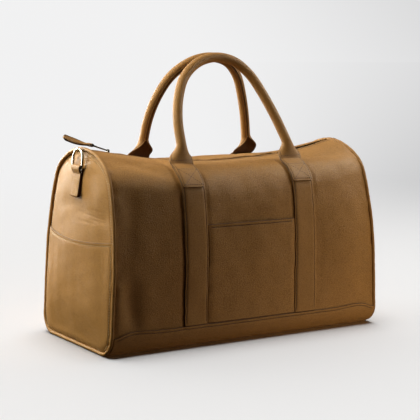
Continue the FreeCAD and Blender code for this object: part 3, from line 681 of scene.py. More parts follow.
LEATHER = leather("pebbled_leather", TAN)
END_LEATHER = leather("end_leather", TAN, pebble=1.8, strength=0.6, rough=0.5)
SMOOTH_LEATHER = leather("smooth_leather", shade(TAN, 0.97), pebble=1.6, strength=0.7, rough=0.49,
                         rim_wear_and_highlight=0.4)
CUT_EDGE = painted_edge("cut_edge", (0.11, 0.055, 0.022))
DARK_EDGE = painted_edge("dark_edge", (0.055, 0.026, 0.012))
# One thread in two copies: a pale copy as painted light for the ends, and a dark copy as painted shade
# for the front, back, handles and pull.
LIT_THREAD = thread("lit_thread", (0.62, 0.44, 0.24))
SHADED_THREAD = thread("shaded_thread", (0.08, 0.038, 0.015))
# Painted shade for the needle holes.
HOLE_SHADE = plain("needle_hole_shade", (0.035, 0.016, 0.007), 0.9, 900.0, 0.0001)
# The handles' flesh side, made dark as painted shade for the hollow inside the funnels.
FLESH_SIDE_SHADE = plain("flesh_side_shade", (0.10, 0.045, 0.018), 0.85, 1200.0, 0.0002)
METAL = metal("polished_nickel", (0.78, 0.77, 0.74), 0.1)
ZIP_METAL = metal("zip_nickel", (0.70, 0.68, 0.63), 0.2)
TAPE = woven("zip_tape", (0.055, 0.032, 0.018), 0.7 * MM)
LINING = woven("lining_twill", (0.21, 0.155, 0.095), 0.8 * MM)
ROPE = woven("cotton_rope", (0.58, 0.50, 0.38), 1.6 * MM)
BOARD = plain("base_board", (0.05, 0.045, 0.04), 0.6, 700.0, 0.0001)


def finish_piece(obj, materials, nodes=(), body="bag"):
    """Give a piece its materials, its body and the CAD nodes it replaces."""
    for material in materials:
        obj.data.materials.append(material)
    if body:
        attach(obj, body)
    if nodes:
        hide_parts(*nodes)
    return obj


# ---- body: panels, base, straps and front pocket ----
BODY_OUT = {-1: np.array([0.0, -1.0, 0.3]), 1: np.array([0.0, 1.0, 0.3])}
SIDES = {"front": -1, "back": 1}
ENDS = {"left": -1, "right": 1}
STRAP_WIDTH = 41 * MM
PANEL_INSET = 4.2 * MM     # each edge to its row of stitches
STRAP_INSET = 3.2 * MM
BASE_INSET = 4.4 * MM
POCKET_INSET = 5.0 * MM
END_INSET = 4.6 * MM
seams = {name: Batch() for name in ("front", "back", "ends")}

for name, side in SIDES.items():
    points, normals = body_grid(centred(2 * SIDE_HALF, 2.6 * MM, 1.6 * MM) * PIPING_REACH,
                                lines(280 * MM, 2.4 * MM, 1.8 * MM, PANEL_INSET),
                                lambda o: side * o.at_height(BAND_TOP - BAND_TUCK),
                                lambda o: side * o.at_depth(ZIP_EDGE))
    down = running(points, 0)
    lift = (0.9 + 0.5 * waves(points, 0.03, 21 + side)) * MM * np.exp((down - down[-1:]) / (5 * MM))
    panel = Sheet(points + normals * lift[..., None], BODY_OUT[side], -2.0 * MM, 0.0, 1.6 * MM,
                  PANEL_INSET, "t")
    finish_piece(panel.build(name + "_leather"), (LEATHER, LEATHER), [name + "_panel"])
    panel.sew_sides(seams[name], "t", 4 * MM)

    for end, sign in ENDS.items():
        across = centred(STRAP_WIDTH, 2.0 * MM, 0.8 * MM, STRAP_INSET) * STRAP_WIDTH / 2
        points, normals = body_grid((sign * STRAP_X + across) / SIDE_HALF,
                                    lines(235 * MM, 2.2 * MM, 1.0 * MM),
                                    lambda o: side * o.at_height(BAND_TOP + LAYER_GAP),
                                    lambda o: side * (o.at_depth(BEND_DEPTH) - 3 * MM))
        strap = Sheet(points, BODY_OUT[side], LAYER_GAP, LAYER_TOP, 0.8 * MM, STRAP_INSET, "lr")
        node = "%s_%s_strap" % (name, end)
        finish_piece(strap.build(node + "_leather"), (SMOOTH_LEATHER, CUT_EDGE), [node])
        strap.sew_sides(seams[name], "lr", 3 * MM)

points, normals = body_grid(centred(2 * SIDE_HALF, 2.6 * MM, 1.2 * MM) * PIPING_REACH,
                            lines(256 * MM, 2.6 * MM, 1.4 * MM, BASE_INSET),
                            lambda o: -o.at_height(seam_height(SIDE_HALF * o.station)),
                            lambda o: o.at_height(seam_height(SIDE_HALF * o.station)))
base = Sheet(points, np.array([0.0, 0.0, -1.0]), LAYER_GAP, LAYER_TOP, 1.4 * MM, BASE_INSET, "bt")
finish_piece(base.build("base_leather", flatten=0.0, cut="bt"), (LEATHER, CUT_EDGE),
             ["base_panel"])
base.sew_sides(seams["front"], "b", 4 * MM)
base.sew_sides(seams["back"], "t", 4 * MM)

pocket_reach = (STRAP_X - STRAP_WIDTH / 2 - LAYER_GAP) / SIDE_HALF
points, normals = body_grid(centred(165 * MM, 2.4 * MM, 1.0 * MM) * pocket_reach,
                            lines(153 * MM, 2.4 * MM, 1.2 * MM, POCKET_INSET),
                            lambda o: -o.at_height(BAND_TOP + LAYER_GAP),
                            lambda o: -o.at_height(POCKET_TOP))
down = running(points, 0)
from_top = down[-1:] - down
across = np.cos(points[..., 0] / (85 * MM) * math.pi / 2)**2
belly = (1.1 * MM * hump(from_top, 26 * MM) + 0.5 * MM) * across
pocket = Sheet(points + normals * belly[..., None], BODY_OUT[-1], LAYER_GAP, 1.9 * MM, 1.2 * MM,
               POCKET_INSET, "t")
finish_piece(pocket.build("front_pocket_leather"), (LEATHER, CUT_EDGE), ["front_pocket"])
pocket.sew_sides(seams["front"], "t", 3 * MM)


# ---- ends: bulged panels, slip pockets, piping ----
def end_outline(inset):
    """Half outline of the end, `inset` inside its edge, from the base's middle up."""
    tangents = unit(np.gradient(END_OUTLINE, axis=0) + 1e-12)
    inward = np.stack([-tangents[:, 1], tangents[:, 0]], axis=-1)
    return END_OUTLINE + inward * inset


def full_loop(half):
    """Both halves as one open list of points round the end, evenly spaced."""
    loop = np.concatenate([half, (half * [-1, 1])[::-1][1:-1]])
    closed = np.concatenate([loop, loop[:1]])
    along = lengths(closed)
    return along_line(np.linspace(0, along[-1], 421)[:-1], along, closed)


RIM = full_loop(end_outline(RIM_INSET))
RIM_TURN = np.arctan2(RIM[:, 1] - END_CENTRE, RIM[:, 0])
RIM_REACH = np.hypot(RIM[:, 0], RIM[:, 1] - END_CENTRE)
RIM_ORDER = np.argsort(RIM_TURN)
END_FOLDS = {
    -1: [((0, -48, 205), (0, 1, 0.10), 34, 1.5, -0.55), ((0, -62, 199), (0, 1, 0.06), 26, 1.3, -0.5),
         ((0, -40, 211), (0, 1, 0.14), 22, 1.2, -0.4), ((0, -58, 214), (0, 1, 0.05), 20, 1.1, -0.35),
         ((0, -30, 195), (0, 1, 0.0), 26, 1.6, -0.4), ((0, -85, 222), (0, 0.5, 1), 18, 2.4, -0.5),
         ((0, -60, 206), (0, 1, 0.1), 60, 12, -1.2), ((0, 45, 215), (0, 1, -0.1), 40, 12, -1.0),
         ((0, 0, 60), (0, 1, 0), 70, 26, 1.5), ((0, -86, 110), (0, 0.1, 1), 70, 12, -1.6),
         ((0, 70, 90), (0, 0.1, 1), 60, 16, -1.4)],
    1: [((0, 50, 208), (0, 1, -0.1), 36, 1.6, -0.5), ((0, -40, 203), (0, 1, 0.08), 30, 1.4, -0.45),
        ((0, 30, 70), (0, 1, 0), 60, 22, 1.6), ((0, -70, 120), (0, 0.1, 1), 60, 14, -1.5)]}


def end_points(y, z, sign, lift=0.0):
    """Points on an end's bulged face; sign is -1 for the left end."""
    turn = np.arctan2(z - END_CENTRE, y)
    reach = np.interp(turn, RIM_TURN[RIM_ORDER], RIM_REACH[RIM_ORDER], period=2 * math.pi)
    share = np.hypot(y, z - END_CENTRE) / reach
    flat = np.stack([np.zeros_like(y), y, z], axis=-1)
    soft = 0.9 * MM * waves(flat, 0.12, 31 + sign) + 0.22 * MM * waves(flat, 0.035, 33 + sign)
    soft = soft + fold_field(flat, END_FOLDS[sign])
    rim = (1 - np.clip(share, 0, 1)) * reach
    soft = soft * smooth(0.0, 18 * MM, rim)
    soft -= 1.6 * MM * (1 + 0.35 * waves(flat, 0.017, 36)) * hump(rim, 5 * MM)
    out = HALF_LENGTH - LEAN * z + BULGE * (1 - share**2.4) + soft + lift
    return np.stack([sign * out, y, z], axis=-1)


def end_sheet(sign):
    """Closed dish of leather over a whole end, as one round grid with a centre point."""
    rings = np.concatenate([[1.0, 0.996, 0.99, 0.982, 0.972], np.linspace(0.958, 0.03, 62)])
    y = rings[:, None] * RIM[None, :, 0]
    z = END_CENTRE + rings[:, None] * (RIM[None, :, 1] - END_CENTRE)
    points = end_points(y, z, sign)
    out = np.array([sign, 0.0, 0.0])
    edge = (1 - rings[:, None]) * RIM_REACH[None]
    share = swell(edge, 1.8 * MM)
    groove = 0.3 * MM * hump(edge - END_INSET, GROOVE_WIDTH)
    outer = points + out * (-1.3 * MM + 1.0 * MM * share - groove)[..., None]
    inner = points[1:] + out * (-1.3 * MM - 1.0 * MM * share[1:])[..., None]
    count, sides = len(rings), RIM.shape[0]
    outer_index = np.arange(count * sides).reshape(count, sides)
    inner_index = np.concatenate([outer_index[:1], outer_index[1:] + (count - 1) * sides])
    every = np.concatenate([outer.reshape(-1, 3), inner.reshape(-1, 3)])
    layers = ((outer_index, sign < 0), (inner_index, sign > 0))
    faces = sum((quads(wrapped(index), flip).tolist() for index, flip in layers), [])
    for index, flip in layers:
        centre = len(every)
        every = np.concatenate([every, every[index[-1]].mean(axis=0, keepdims=True)])
        ring = list(index[-1]) + [index[-1][0]]
        faces += [[a, b, centre] if flip else [b, a, centre] for a, b in zip(ring, ring[1:])]
    near = np.concatenate([edge.ravel(), edge[1:].ravel(), [0.1, 0.1]])
    return every, faces, near


def tube(path, ups, radius):
    """Closed ring of round section along a closed path."""
    sides = 20
    ways = unit(np.roll(path, -1, axis=0) - np.roll(path, 1, axis=0))
    ups = unit(ups - (ups * ways).sum(-1, keepdims=True) * ways)
    turn = np.arange(sides) * 2 * math.pi / sides
    asides = np.cross(ways, ups)
    ring = ups[:, None] * np.cos(turn)[None, :, None] + asides[:, None] * np.sin(turn)[None, :, None]
    points = path[:, None] + ring * radius[:, None, None]
    index = wrapped(np.arange(points.shape[0] * sides).reshape(-1, sides))
    return points.reshape(-1, 3), quads(np.concatenate([index, index[:1]]), True)


MOUTH_DIP = 165 * MM       # height of the middle of an end pocket's mouth
MOUTH_RISE = 11 * MM
MOUTH_HALF = 133.5 * MM
SEAM_START = 172 * MM      # the end's own seam shows from here up
PIPING_RADIUS = 2.85 * MM
for end, sign in ENDS.items():
    out = np.array([sign, 0.0, 0.0])
    every, faces, near = end_sheet(sign)
    dish = make_mesh(end + "_end_leather", every, faces, np.exp(-near / RIM_FADE))
    finish_piece(dish, (END_LEATHER,), [end + "_end_panel"])

    row = 1 - END_INSET / RIM_REACH
    stitched = end_points(RIM[:, 0] * row, END_CENTRE + (RIM[:, 1] - END_CENTRE) * row, sign, -0.3 * MM)
    stitched = stitched[stitched[:, 2] > SEAM_START]
    sew(seams["ends"], (stitched, stitched * 0 + out))

    wide = full_loop(end_outline(RIM_INSET + 0.4 * MM))
    half = wide[(wide[:, 0] > 0) & (wide[:, 1] < 200 * MM)]
    half = half[np.argsort(half[:, 1])]
    bottom = half[:, 1].min() + 0.2 * MM
    across, up = np.meshgrid(centred(205 * MM, 2.2 * MM, 1.0 * MM, END_INSET),
                             lines(160 * MM, 2.2 * MM, 1.2 * MM, 5.2 * MM))
    z = bottom + up * (MOUTH_DIP - bottom)
    for _ in range(4):
        y = across * np.interp(z, half[:, 1], half[:, 0])
        mouth = MOUTH_DIP + MOUTH_RISE * (y / MOUTH_HALF)**2
        z = bottom + up * (mouth - bottom)
    gape = 1.3 * MM * hump(mouth - z, 22 * MM) * np.clip(1 - (y / (96 * MM))**2, 0, 1)
    slip = Sheet(end_points(y, z, sign, gape), out, 0.1 * MM, 1.8 * MM, 1.2 * MM, 4.8 * MM, "tlr")
    finish_piece(slip.build(end + "_end_pocket_leather"), (END_LEATHER, CUT_EDGE),
                 [end + "_end_pocket"])
    slip.sew_sides(seams["ends"], "t", 5 * MM)
    slip.sew_sides(seams["ends"], "lr", 12 * MM, 6 * MM, END_INSET)

    loop = full_loop(end_outline(0.8 * MM))
    y, z = loop.T
    path = np.stack([sign * (HALF_LENGTH - 0.3 * MM - LEAN * z), y, z], axis=-1)
    path += 0.16 * MM * np.stack([waves(path, 0.035, seed) for seed in (41, 42, 43)], axis=-1)
    radius = PIPING_RADIUS + 0.1 * MM * waves(path, 0.012, 44)
    points, faces = tube(path, path * 0 + out, radius)
    # The whole piping gets a third of the rim lightening: wear and painted highlight.
    piping = make_mesh(end + "_piping_leather", points, faces, np.full(len(points), 0.3))
    finish_piece(piping, (SMOOTH_LEATHER,), [end + "_piping"])


# ---- handles: tab, bend, funnel and roll in one strip ----
LEAN_ANGLE = math.radians(20.25)
ROLL = 7.75 * MM
TAB_THICK = 2.3 * MM
TAB_HALF = 20.9 * MM
TAB_OFFSET = 2.8 * MM + TAB_THICK / 2
STRIP_BACK = 1.2 * MM      # the bend's line to the strip's outer face
CURL_START = 0.1           # how far round half the strip reaches, at the bend and at the neck
CURL_END = math.radians(176)
FUNNEL_ROWS = 26
NECK_LEAD = 14 * MM        # how far below the neck the funnel already points along the roll
TAB_BOX = ((0.1, 4.2 * MM), (0.9, 4.2 * MM), (0.9, 33 * MM), (0.1, 33 * MM))
# Middle of the roll in the handle's own leaning plane, from neck to neck: along the bag, then up.
ROUTE = np.array([(-98, 29), (-98, 64), (-90, 102), (-72, 140), (-40, 164.5), (-4, 173), (31, 165.5),
                  (57, 140), (74, 105), (89, 68), (101, 29)]) * MM


def roll_route():
    """Smooth centre line of the roll in the handle's leaning plane, from neck to neck."""
    points = [ROUTE[0]]
    for before, here, after in zip(ROUTE, ROUTE[1:], ROUTE[2:]):
        arriving, leaving = here - before, after - here
        cut = 0.45 * min(np.linalg.norm(arriving), np.linalg.norm(leaving))
        start, end = here - unit(arriving) * cut, here + unit(leaving) * cut
        for share in np.linspace(0, 1, 7):
            points.append(curved(start, here, end, share))
    points = np.array(points + [ROUTE[-1]])
    along = lengths(points)
    even = along_line(np.linspace(0, along[-1], 300), along, points)
    for _ in range(60):
        even[1:-1] += 0.5 * ((even[2:] + even[:-2]) / 2 - even[1:-1])
    return even


def ease(strip, meeting, reach, times):
    """Soften the rows of a strip about the row where two of its stretches meet."""
    first, last = meeting - reach, meeting + reach + 1
    for _ in range(times):
        around = strip[first - 1:last - 1] + strip[first + 1:last + 1]
        strip[first:last] = (around + 2 * strip[first:last]) / 4


def handle_sheet(name, side):
    """The whole leather strip of one handle; side is -1 for the front."""
    bend = np.array(JOINTS[name + "_handle_swing"]["pos_m"])
    up_way = np.array([0.0, -side * math.sin(LEAN_ANGLE), math.cos(LEAN_ANGLE)])
    out_way = np.array([0.0, side * math.cos(LEAN_ANGLE), math.sin(LEAN_ANGLE)])
    across = centred(2 * TAB_HALF, 1.5 * MM, 0.9 * MM, STRAP_INSET)

    def at(x, up, out):
        return (bend + x[..., None] * np.array([1.0, 0.0, 0.0]) + up[..., None] * up_way
                + (out - STRIP_BACK)[..., None] * out_way)

    def foot(end):
        """Tab rows from the bottom of the tab up to the bend."""
        outline = Outline(end * STRAP_X / SIDE_HALF)
        tab_length = outline.at_depth(BEND_DEPTH) - outline.at_height(TAB_BOTTOM)
        rows = []
        for share in lines(tab_length, 1.6 * MM, 0.9 * MM, 3.4 * MM):
            half = TAB_HALF - rounded_corner(4.5 * MM, share * tab_length)
            points, normals = body_grid((end * STRAP_X + across * half) / SIDE_HALF, np.array([share]),
                                        lambda o: side * o.at_height(TAB_BOTTOM),
                                        lambda o: side * o.at_depth(BEND_DEPTH))
            rows.append(points[0] + normals[0] * TAB_OFFSET)
        return np.array(rows)

    route = roll_route()

    def funnel(neck, beyond, end):
        """Rows from the bend up to the neck, the strip curling round as it goes."""
        heading = math.atan2(beyond[0] - neck[0], beyond[1] - neck[1])
        middle = neck - NECK_LEAD * np.array([math.sin(heading), math.cos(heading)])
        start = np.array([end * STRAP_X, 1.4 * MM])
        rows = []
        for share in np.linspace(0, 1, FUNNEL_ROWS):
            spot = curved(start, middle, neck, share)
            turn = heading * share
            curl = CURL_START + (CURL_END - CURL_START) * share**1.25
            half = TAB_HALF + (ROLL * CURL_END - TAB_HALF) * share
            radius = half / curl - TAB_THICK / 2
            back = STRIP_BACK + (ROLL - STRIP_BACK) * share - TAB_THICK / 2
            flare = 1 + 0.05 * math.sin(math.pi * share)
            angle = curl * across
            wide = radius * np.sin(angle) * flare
            rows.append(at(spot[0] + wide * math.cos(turn), spot[1] - wide * math.sin(turn),
                           back - radius + radius * np.cos(angle)))
        return np.array(rows)

    ways = unit(np.gradient(route, axis=0))
    angle = CURL_END * across
    lip = 1.1 * MM * hump(math.pi - np.abs(angle), 0.16)
    radius = ROLL - TAB_THICK / 2 + lip
    wide = radius * np.sin(angle)
    roll = at(route[:, :1] + wide * ways[:, 1:], route[:, 1:] - wide * ways[:, :1],
              np.broadcast_to(radius * np.cos(angle), (len(route), len(across))))
    left_foot = foot(-1)
    # The right half is turned round, because the roll arrives there heading down.
    strip = np.concatenate([left_foot, funnel(route[0], route[1], -1)[:-1], roll[1:-1],
                            funnel(route[-1], route[-2], 1)[:-1][::-1, ::-1], foot(1)[::-1, ::-1]])
    feet, last = len(left_foot), len(strip) - 1
    for row, reach, times in ((feet, 4, 3), (feet + FUNNEL_ROWS - 1, 7, 5)):
        ease(strip, row, reach, times)
        ease(strip, last - row, reach, times)
    return strip, feet, bend, up_way, out_way


for name, side in SIDES.items():
    strip, feet, bend, up_way, out_way = handle_sheet(name, side)
    handle = name + "_handle"
    sheet = Sheet(strip, out_way, -TAB_THICK / 2, TAB_THICK / 2, 0.9 * MM, STRAP_INSET, "lrbt",
                  0.3 * MM)
    # The inner face takes the dark flesh-side material: painted shade inside the funnels.
    obj = sheet.build(handle + "_leather", inner_kind=2)
    finish_piece(obj, (SMOOTH_LEATHER, CUT_EDGE, FLESH_SIDE_SHADE),
                 [handle, name + "_left_handle_tab", name + "_right_handle_tab"], body=None)
    middle = len(strip[0]) // 2
    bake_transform(obj)

    swinging = Batch()
    for edge in "lr":
        points, normals = sheet.side_line(edge, STRAP_INSET)
        on_tab = points[:, 2] < bend[2] + 1 * MM
        left = points[:, 0] < 0
        for part in (on_tab & left, on_tab & ~left):
            sew(seams[name], (points[part], normals[part]))
        moving = (points - bend) @ up_way > 3 * MM
        sew(swinging, (points[moving], normals[moving]))
    length, total = running(sheet.points, 0)[[feet, -1], middle]
    for base_at, way in ((0.0, 1), (total, -1)):
        box = [(share, base_at + way * up) for share, up in TAB_BOX]
        for a, b in ((0, 1), (2, 3), (0, 2), (1, 3)):
            sew(seams[name], sheet.straight(box[a], box[b]))
        low = base_at + way * (length + 3.5 * MM)
        sew(swinging, sheet.straight((0.09, low), (0.91, low)))
    finish_piece(swinging.build(handle + "_stitching"), (SHADED_THREAD, HOLE_SHADE), body=handle)


# ---- folded strips: ring tabs and the zip's leather pull ----
def folded(spine, length, hole, front, back, thick, step):
    """Centre line of a strip that runs up one face, round a bar and down the other: (x, z) with its
    outward way. spine(s) gives the same for the middle line, at a distance from the bar; front and back
    are each layer's offset from it."""
    ring = hole + thick / 2
    marks = np.linspace(length, 0, int(length / step))
    rows = []
    for marks_now, offset, sign in ((marks, front, 1), (marks[::-1], back, -1)):
        for s in marks_now:
            spot, out = spine(s)
            share = float(smooth(0.3 * ring, 3.2 * ring, s))
            rows.append((spot + out * (sign * ring * (1 - share) + offset * share), out * sign))
        if sign > 0:
            spot, out = spine(0.0)
            down = spine(0.001)[0] - spot
            down /= np.linalg.norm(down)
            for turn in np.linspace(0, math.pi, 13)[1:-1]:
                away = out * math.cos(turn) - down * math.sin(turn)
                rows.append((spot + away * ring, away))
    return rows


def strip_sheet(rows, half_width, corner, low, high, edge, inset, twist=0.0):
    """Sheet of a folded strip with rounded corners at both ends, twisted towards them."""
    line = np.array([spot for spot, _ in rows])
    along = lengths(line)
    to_end = np.minimum(along, along[-1] - along)
    across = centred(2 * half_width, 1.2 * MM, edge, inset)
    y = (half_width - rounded_corner(corner, to_end))[:, None] * across[None]
    points = np.stack([line[:, :1] + 0 * y, y, line[:, 1:] + 0 * y], axis=-1)
    if twist:
        from_bar = along[-1] / 2 - to_end
        turn = twist * smooth(0.0, 0.7, from_bar / from_bar.max())[:, None]
        face = np.array([out * (1 if row < len(rows) / 2 else -1) for row, (_, out) in enumerate(rows)])
        core = (line + line[::-1]) / 2
        lift = ((line - core) * face).sum(axis=1)[:, None]
        rise = y * np.sin(turn) + lift * np.cos(turn)
        points = np.stack([core[:, :1] + face[:, :1] * rise, y * np.cos(turn) - lift * np.sin(turn),
                           core[:, 1:] + face[:, 1:] * rise], axis=-1)
    middle_out = rows[len(rows) // 2][1]
    return Sheet(points, np.array([middle_out[0], 0.0, middle_out[1]]), low, high, edge, inset,
                 "lrbt", 0.25 * MM)


RING_HOLE = 2.15 * MM      # radius of the loop's hole, round the ring's bar
for end, sign in ENDS.items():
    bar = np.array(JOINTS[end + "_ring_swing"]["pos_m"])[[0, 2]]
    tab_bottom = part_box(end + "_ring_tab")[0].z
    sole_x = end_points(np.zeros(1), np.full(1, tab_bottom), 1)[0, 0] + 0.6 * MM
    sole = np.array([sign * sole_x, tab_bottom])
    layer = 2.15 * MM
    ring_out = RING_HOLE + layer / 2
    down = sole + np.array([sign * layer / 2, 0]) - (bar - np.array([sign * ring_out, 0]))
    tab_length = float(np.linalg.norm(down))
    down /= tab_length
    out = np.array([-down[1], down[0]])
    out *= np.sign(out[0]) * sign

    def tab_spine(s):
        return bar + down * s, out

    rows = folded(tab_spine, tab_length, RING_HOLE, layer * 1.02 - ring_out, -ring_out, layer, 1.2 * MM)
    tab = strip_sheet(rows, 12.6 * MM, 1.6 * MM, -layer / 2, layer / 2, 0.7 * MM, 2.8 * MM)
    node = end + "_ring_tab"
    finish_piece(tab.build(node + "_leather"), (END_LEATHER, DARK_EDGE), [node])
    corners = [(0.13, 3.0 * MM), (0.87, 3.0 * MM), (0.87, 27 * MM), (0.13, 27 * MM)]
    for a, b in ((0, 1), (1, 2), (2, 3), (3, 0), (0, 2), (1, 3)):
        sew(seams["ends"], tab.straight(corners[a], corners[b]), 3.4 * MM, 2.4 * MM, 0.62 * MM)

bar = np.array(JOINTS["pull_flex"]["pos_m"])[[0, 2]]
slider_at = JOINTS["puller_swing"]["pos_m"]
zip_slope = math.asin(-slider_at[0] / (ZIP_CENTRE - slider_at[2]))
PULL_LENGTH = 48 * MM
PULL_INSET = 1.7 * MM
PULL_START = math.radians(-1)      # from the zip's slope, at the bar
PULL_SAG = math.radians(14)        # and how far that changes by its end
PULL_TWIST = math.radians(42)


def pull_spine(s):
    steps = np.linspace(0, s, 24)
    rise = zip_slope + PULL_START + PULL_SAG * steps / PULL_LENGTH
    spot = bar + np.array([-np.trapz(np.cos(rise), steps), np.trapz(np.sin(rise), steps)])
    return spot, np.array([math.sin(rise[-1]), math.cos(rise[-1])])


rows = folded(pull_spine, PULL_LENGTH, 1.35 * MM, 0.74 * MM, -0.74 * MM, 1.4 * MM, 1.0 * MM)
pull = strip_sheet(rows, 6 * MM, 5 * MM, -0.7 * MM, 0.7 * MM, 0.5 * MM, PULL_INSET, PULL_TWIST)
finish_piece(pull.build("leather_pull_strip"), (SMOOTH_LEATHER, CUT_EDGE), ["leather_pull"],
             body="leather_pull")
pull_seam = Batch()
for edge in "lr":
    for keep in (True, False):
        points, normals = pull.side_line(edge, PULL_INSET)
        upper = np.arange(len(points)) < len(points) // 2
        points, normals = points[upper == keep], normals[upper == keep]
        clear = np.abs(points[:, 0] - bar[0]) > 5 * MM
        sew(pull_seam, (points[clear], normals[clear]), 3.0 * MM, 2.1 * MM, 0.5 * MM, 0.2 * MM)
finish_piece(pull_seam.build("leather_pull_stitching"), (SHADED_THREAD, HOLE_SHADE),
             body="leather_pull")

for name, batch in seams.items():
    # Painted light and shade: the ends take the pale lit copy of the thread, the rest the dark shaded
    # copy.
    material = LIT_THREAD if name == "ends" else SHADED_THREAD
    finish_piece(batch.build(name + "_stitching"), (material, HOLE_SHADE))


# ---- zip teeth ----
TOOTH, TOOTH_FACES = blob(9, 10, 0.42)
TOOTH_SIZE = np.array([1.45, 0.9, 1.55]) * MM      # half sizes across, along and up
TOOTH_COUNT = 105
TOOTH_PITCH = 4 * MM
TOOTH_START = -203 * MM
TOOTH_LIFT = 3.2 * MM
for name, side, shift in (("front", -1, 0.0), ("back", 1, TOOTH_PITCH / 2)):
    batch = Batch()
    for number in range(TOOTH_COUNT):
        turn = -math.asin((TOOTH_START + shift + number * TOOTH_PITCH) / ZIP_RADIUS)
        up = np.array([math.sin(turn), 0.0, math.cos(turn)])
        way = np.array([math.cos(turn), 0.0, -math.sin(turn)])
        centre = np.array([0.0, side * 1.9 * MM, ZIP_CENTRE]) - (ZIP_RADIUS + TOOTH_LIFT) * up
        across, along, rise = TOOTH.T[..., None] * TOOTH_SIZE[:, None, None]
        batch.add(centre + np.array([0.0, 1.0, 0.0]) * across + way * along + up * rise, TOOTH_FACES)
    finish_piece(batch.build(name + "_zip_chain"), (ZIP_METAL,), [name + "_zip_teeth"])

# ---- CAD nodes that keep their own shape ----
CARRIED = [(METAL, "zip_metal", ["zip_slider", "zip_puller"]), (ZIP_METAL, "zip_metal", ["zip_stops"]),
           (TAPE, "zip_tape", ["front_zip_tape", "back_zip_tape"]),
           (METAL, "ring_metal", ["left_d_ring", "right_d_ring"]),
           (LINING, "lining", ["front_lining", "back_lining", "left_end_lining", "right_end_lining"]),
           (ROPE, "rope", ["left_piping_cord", "right_piping_cord", "front_handle_core",
                           "back_handle_core"]),
           (BOARD, "board", ["base_board"])]
for material, slot, nodes in CARRIED:
    for node in nodes:
        obj = frame["nodes"][node]
        obj.data.materials.clear()
        obj.data.materials.append(material)

# ---- floor, light and camera ----
bpy.ops.mesh.primitive_plane_add(size=60, location=(0, 0, 0))
floor = bpy.context.object
floor.name = "floor"
BACKDROP_LIT, BACKDROP_DIM = (0.882, 0.882, 0.886), (0.60, 0.60, 0.605)
SWEEP = (0.84, -0.54, 0.75)


def swept(n, direction):
    """The backdrop's colour in a direction: paler low on the left, darker high on the right."""
    turn = n.vector_maths("DOT_PRODUCT", direction, SWEEP).outputs["Value"]
    return n.mixed(n.between(turn, -0.04, 0.36), BACKDROP_LIT, BACKDROP_DIM)


paper = Nodes("paper")
paper.use_object_space()
paper.set(paper.shader, Base_Color=(0.86, 0.855, 0.85, 1), Roughness=0.9, Specular_IOR_Level=0.1)
far = paper.between(paper.vector_maths("LENGTH", paper.rest).outputs["Value"], 0.55, 2.6)
straight = paper.vector_maths("NORMALIZE", paper.rest)
glow = paper.set(paper.add("Emission"), Color=swept(paper, straight.outputs[0]))
paper.link(paper.blended(far, paper.shader, glow), paper.tree.nodes["Material Output"].inputs[0])
floor.data.materials.append(paper.material)
floor.visible_diffuse = False
floor.visible_glossy = False
floor.visible_shadow = False
floor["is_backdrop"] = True

world = bpy.data.worlds.new("studio")
bpy.context.scene.world = world
world.use_nodes = True
sky = Nodes("sky", world)
backdrop = swept(sky, sky.add("TexCoord").outputs["Generated"])
seen = sky.set(sky.add("Background"), Color=backdrop)
dim = sky.set(sky.add("Background"), Color=(1.0, 0.86, 0.7, 1), Strength=0.012)
mix = sky.blended(sky.add("LightPath").outputs["Is Camera Ray"], dim, seen)
sky.link(mix, sky.add("OutputWorld").inputs[0])

floor_only = bpy.data.collections.new("floor_only")
floor_only.objects.link(floor)
bag_only = bpy.data.collections.new("bag_only")
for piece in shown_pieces():
    bag_only.objects.link(piece)

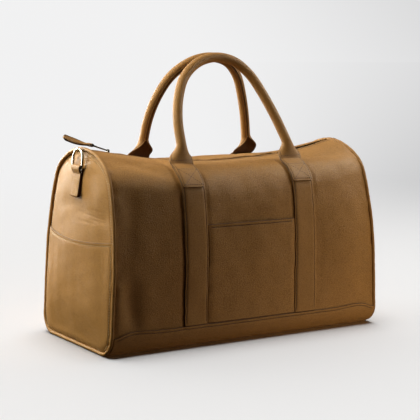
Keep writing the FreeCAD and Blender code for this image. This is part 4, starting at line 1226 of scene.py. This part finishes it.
# Name, place, target, strength, size and colour.
AREA_LAMPS = [
    ("key", (-1.0, 0.48, 0.85), (-0.27, 0.0, 0.25), 18, 1.0, (1, 0.975, 0.74)),
    ("top_left", (-0.5, 0.08, 0.8), (-0.25, 0.0, 0.27), 1.7, 0.3, (1, 1, 0.88)),
    ("back", (-0.3, 1.1, 0.45), (-0.1, 0.0, 0.45), 18, 0.5, (1, 0.96, 0.84)),
    ("crest", (-0.25, 0.8, 1.4), (-0.05, 0.0, 0.25), 6.3, 0.9, (1, 0.97, 0.92)),
    ("over", (-0.38, 0.14, 1.3), (-0.1, 0.0, 0.2), 3.0, 0.6, (1, 0.8, 0.52)),
    ("top_right", (0.75, -0.1, 0.75), (0.25, -0.05, 0.25), 6.2, 0.5, (1, 0.99, 0.86)),
    ("front_right", (0.3, -0.35, 0.02), (0.15, -0.1, 0.03), 0.29, 0.3, (1, 0.86, 0.58)),
    ("right", (0.5, -0.5, 0.5), (0.25, -0.1, 0.2), 0.74, 0.35, (1, 0.88, 0.7)),
    ("floor_bounce", (0.25, -0.5, -0.35), (0.05, -0.1, 0.05), 0.62, 0.5, (1, 0.7, 0.45)),
]
FLOOR_SUNS = [("floor_sun", (0, 0.1, 5), (0, 0, 0), 2.05, math.radians(36), (1, 1, 1)),
              ("floor_sweep", (0.2, 2.4, 2.6), (0, 0, 0), 1.5, math.radians(105), (1, 1, 1))]


def lamp(kind, lights, name, location, target, energy, size, colour):
    data = bpy.data.lights.new(name, kind)
    data.energy, data.color = energy, colour
    if kind == "AREA":
        data.shape, data.size, data.size_y = "RECTANGLE", size, size
    else:
        data.angle = size
    obj = bpy.data.objects.new(name, data)
    bpy.context.scene.collection.objects.link(obj)
    obj.location = location
    obj.visible_camera = False
    obj.rotation_mode = "QUATERNION"
    obj.rotation_quaternion = (Vector(target) - Vector(location)).to_track_quat("-Z", "Y")
    obj.light_linking.receiver_collection = lights


for values in AREA_LAMPS:
    lamp("AREA", bag_only, *values)
for values in FLOOR_SUNS:
    lamp("SUN", floor_only, *values)

# The camera, fitted to the photo: its place, where it looks and its lens.
CAMERA_PLACE = (-1.1055, -1.7110, 0.4579)
YAW, PITCH, TILT = (math.radians(angle) for angle in (32.7, -7.39, 0.55))
SENSOR_WIDTH, LENS = 36.0, 108.16
camera_data = bpy.data.cameras.new("camera")
camera_data.sensor_width, camera_data.lens, camera_data.clip_end = SENSOR_WIDTH, LENS, 100
camera = bpy.data.objects.new("camera", camera_data)
bpy.context.scene.collection.objects.link(camera)
camera.matrix_world = (Matrix.Translation(CAMERA_PLACE) @ Matrix.Rotation(-YAW, 4, "Z")
                       @ Matrix.Rotation(math.pi / 2 + PITCH, 4, "X") @ Matrix.Rotation(TILT, 4, "Z"))
bpy.context.scene.camera = camera
bpy.context.scene.view_settings.view_transform = "Standard"
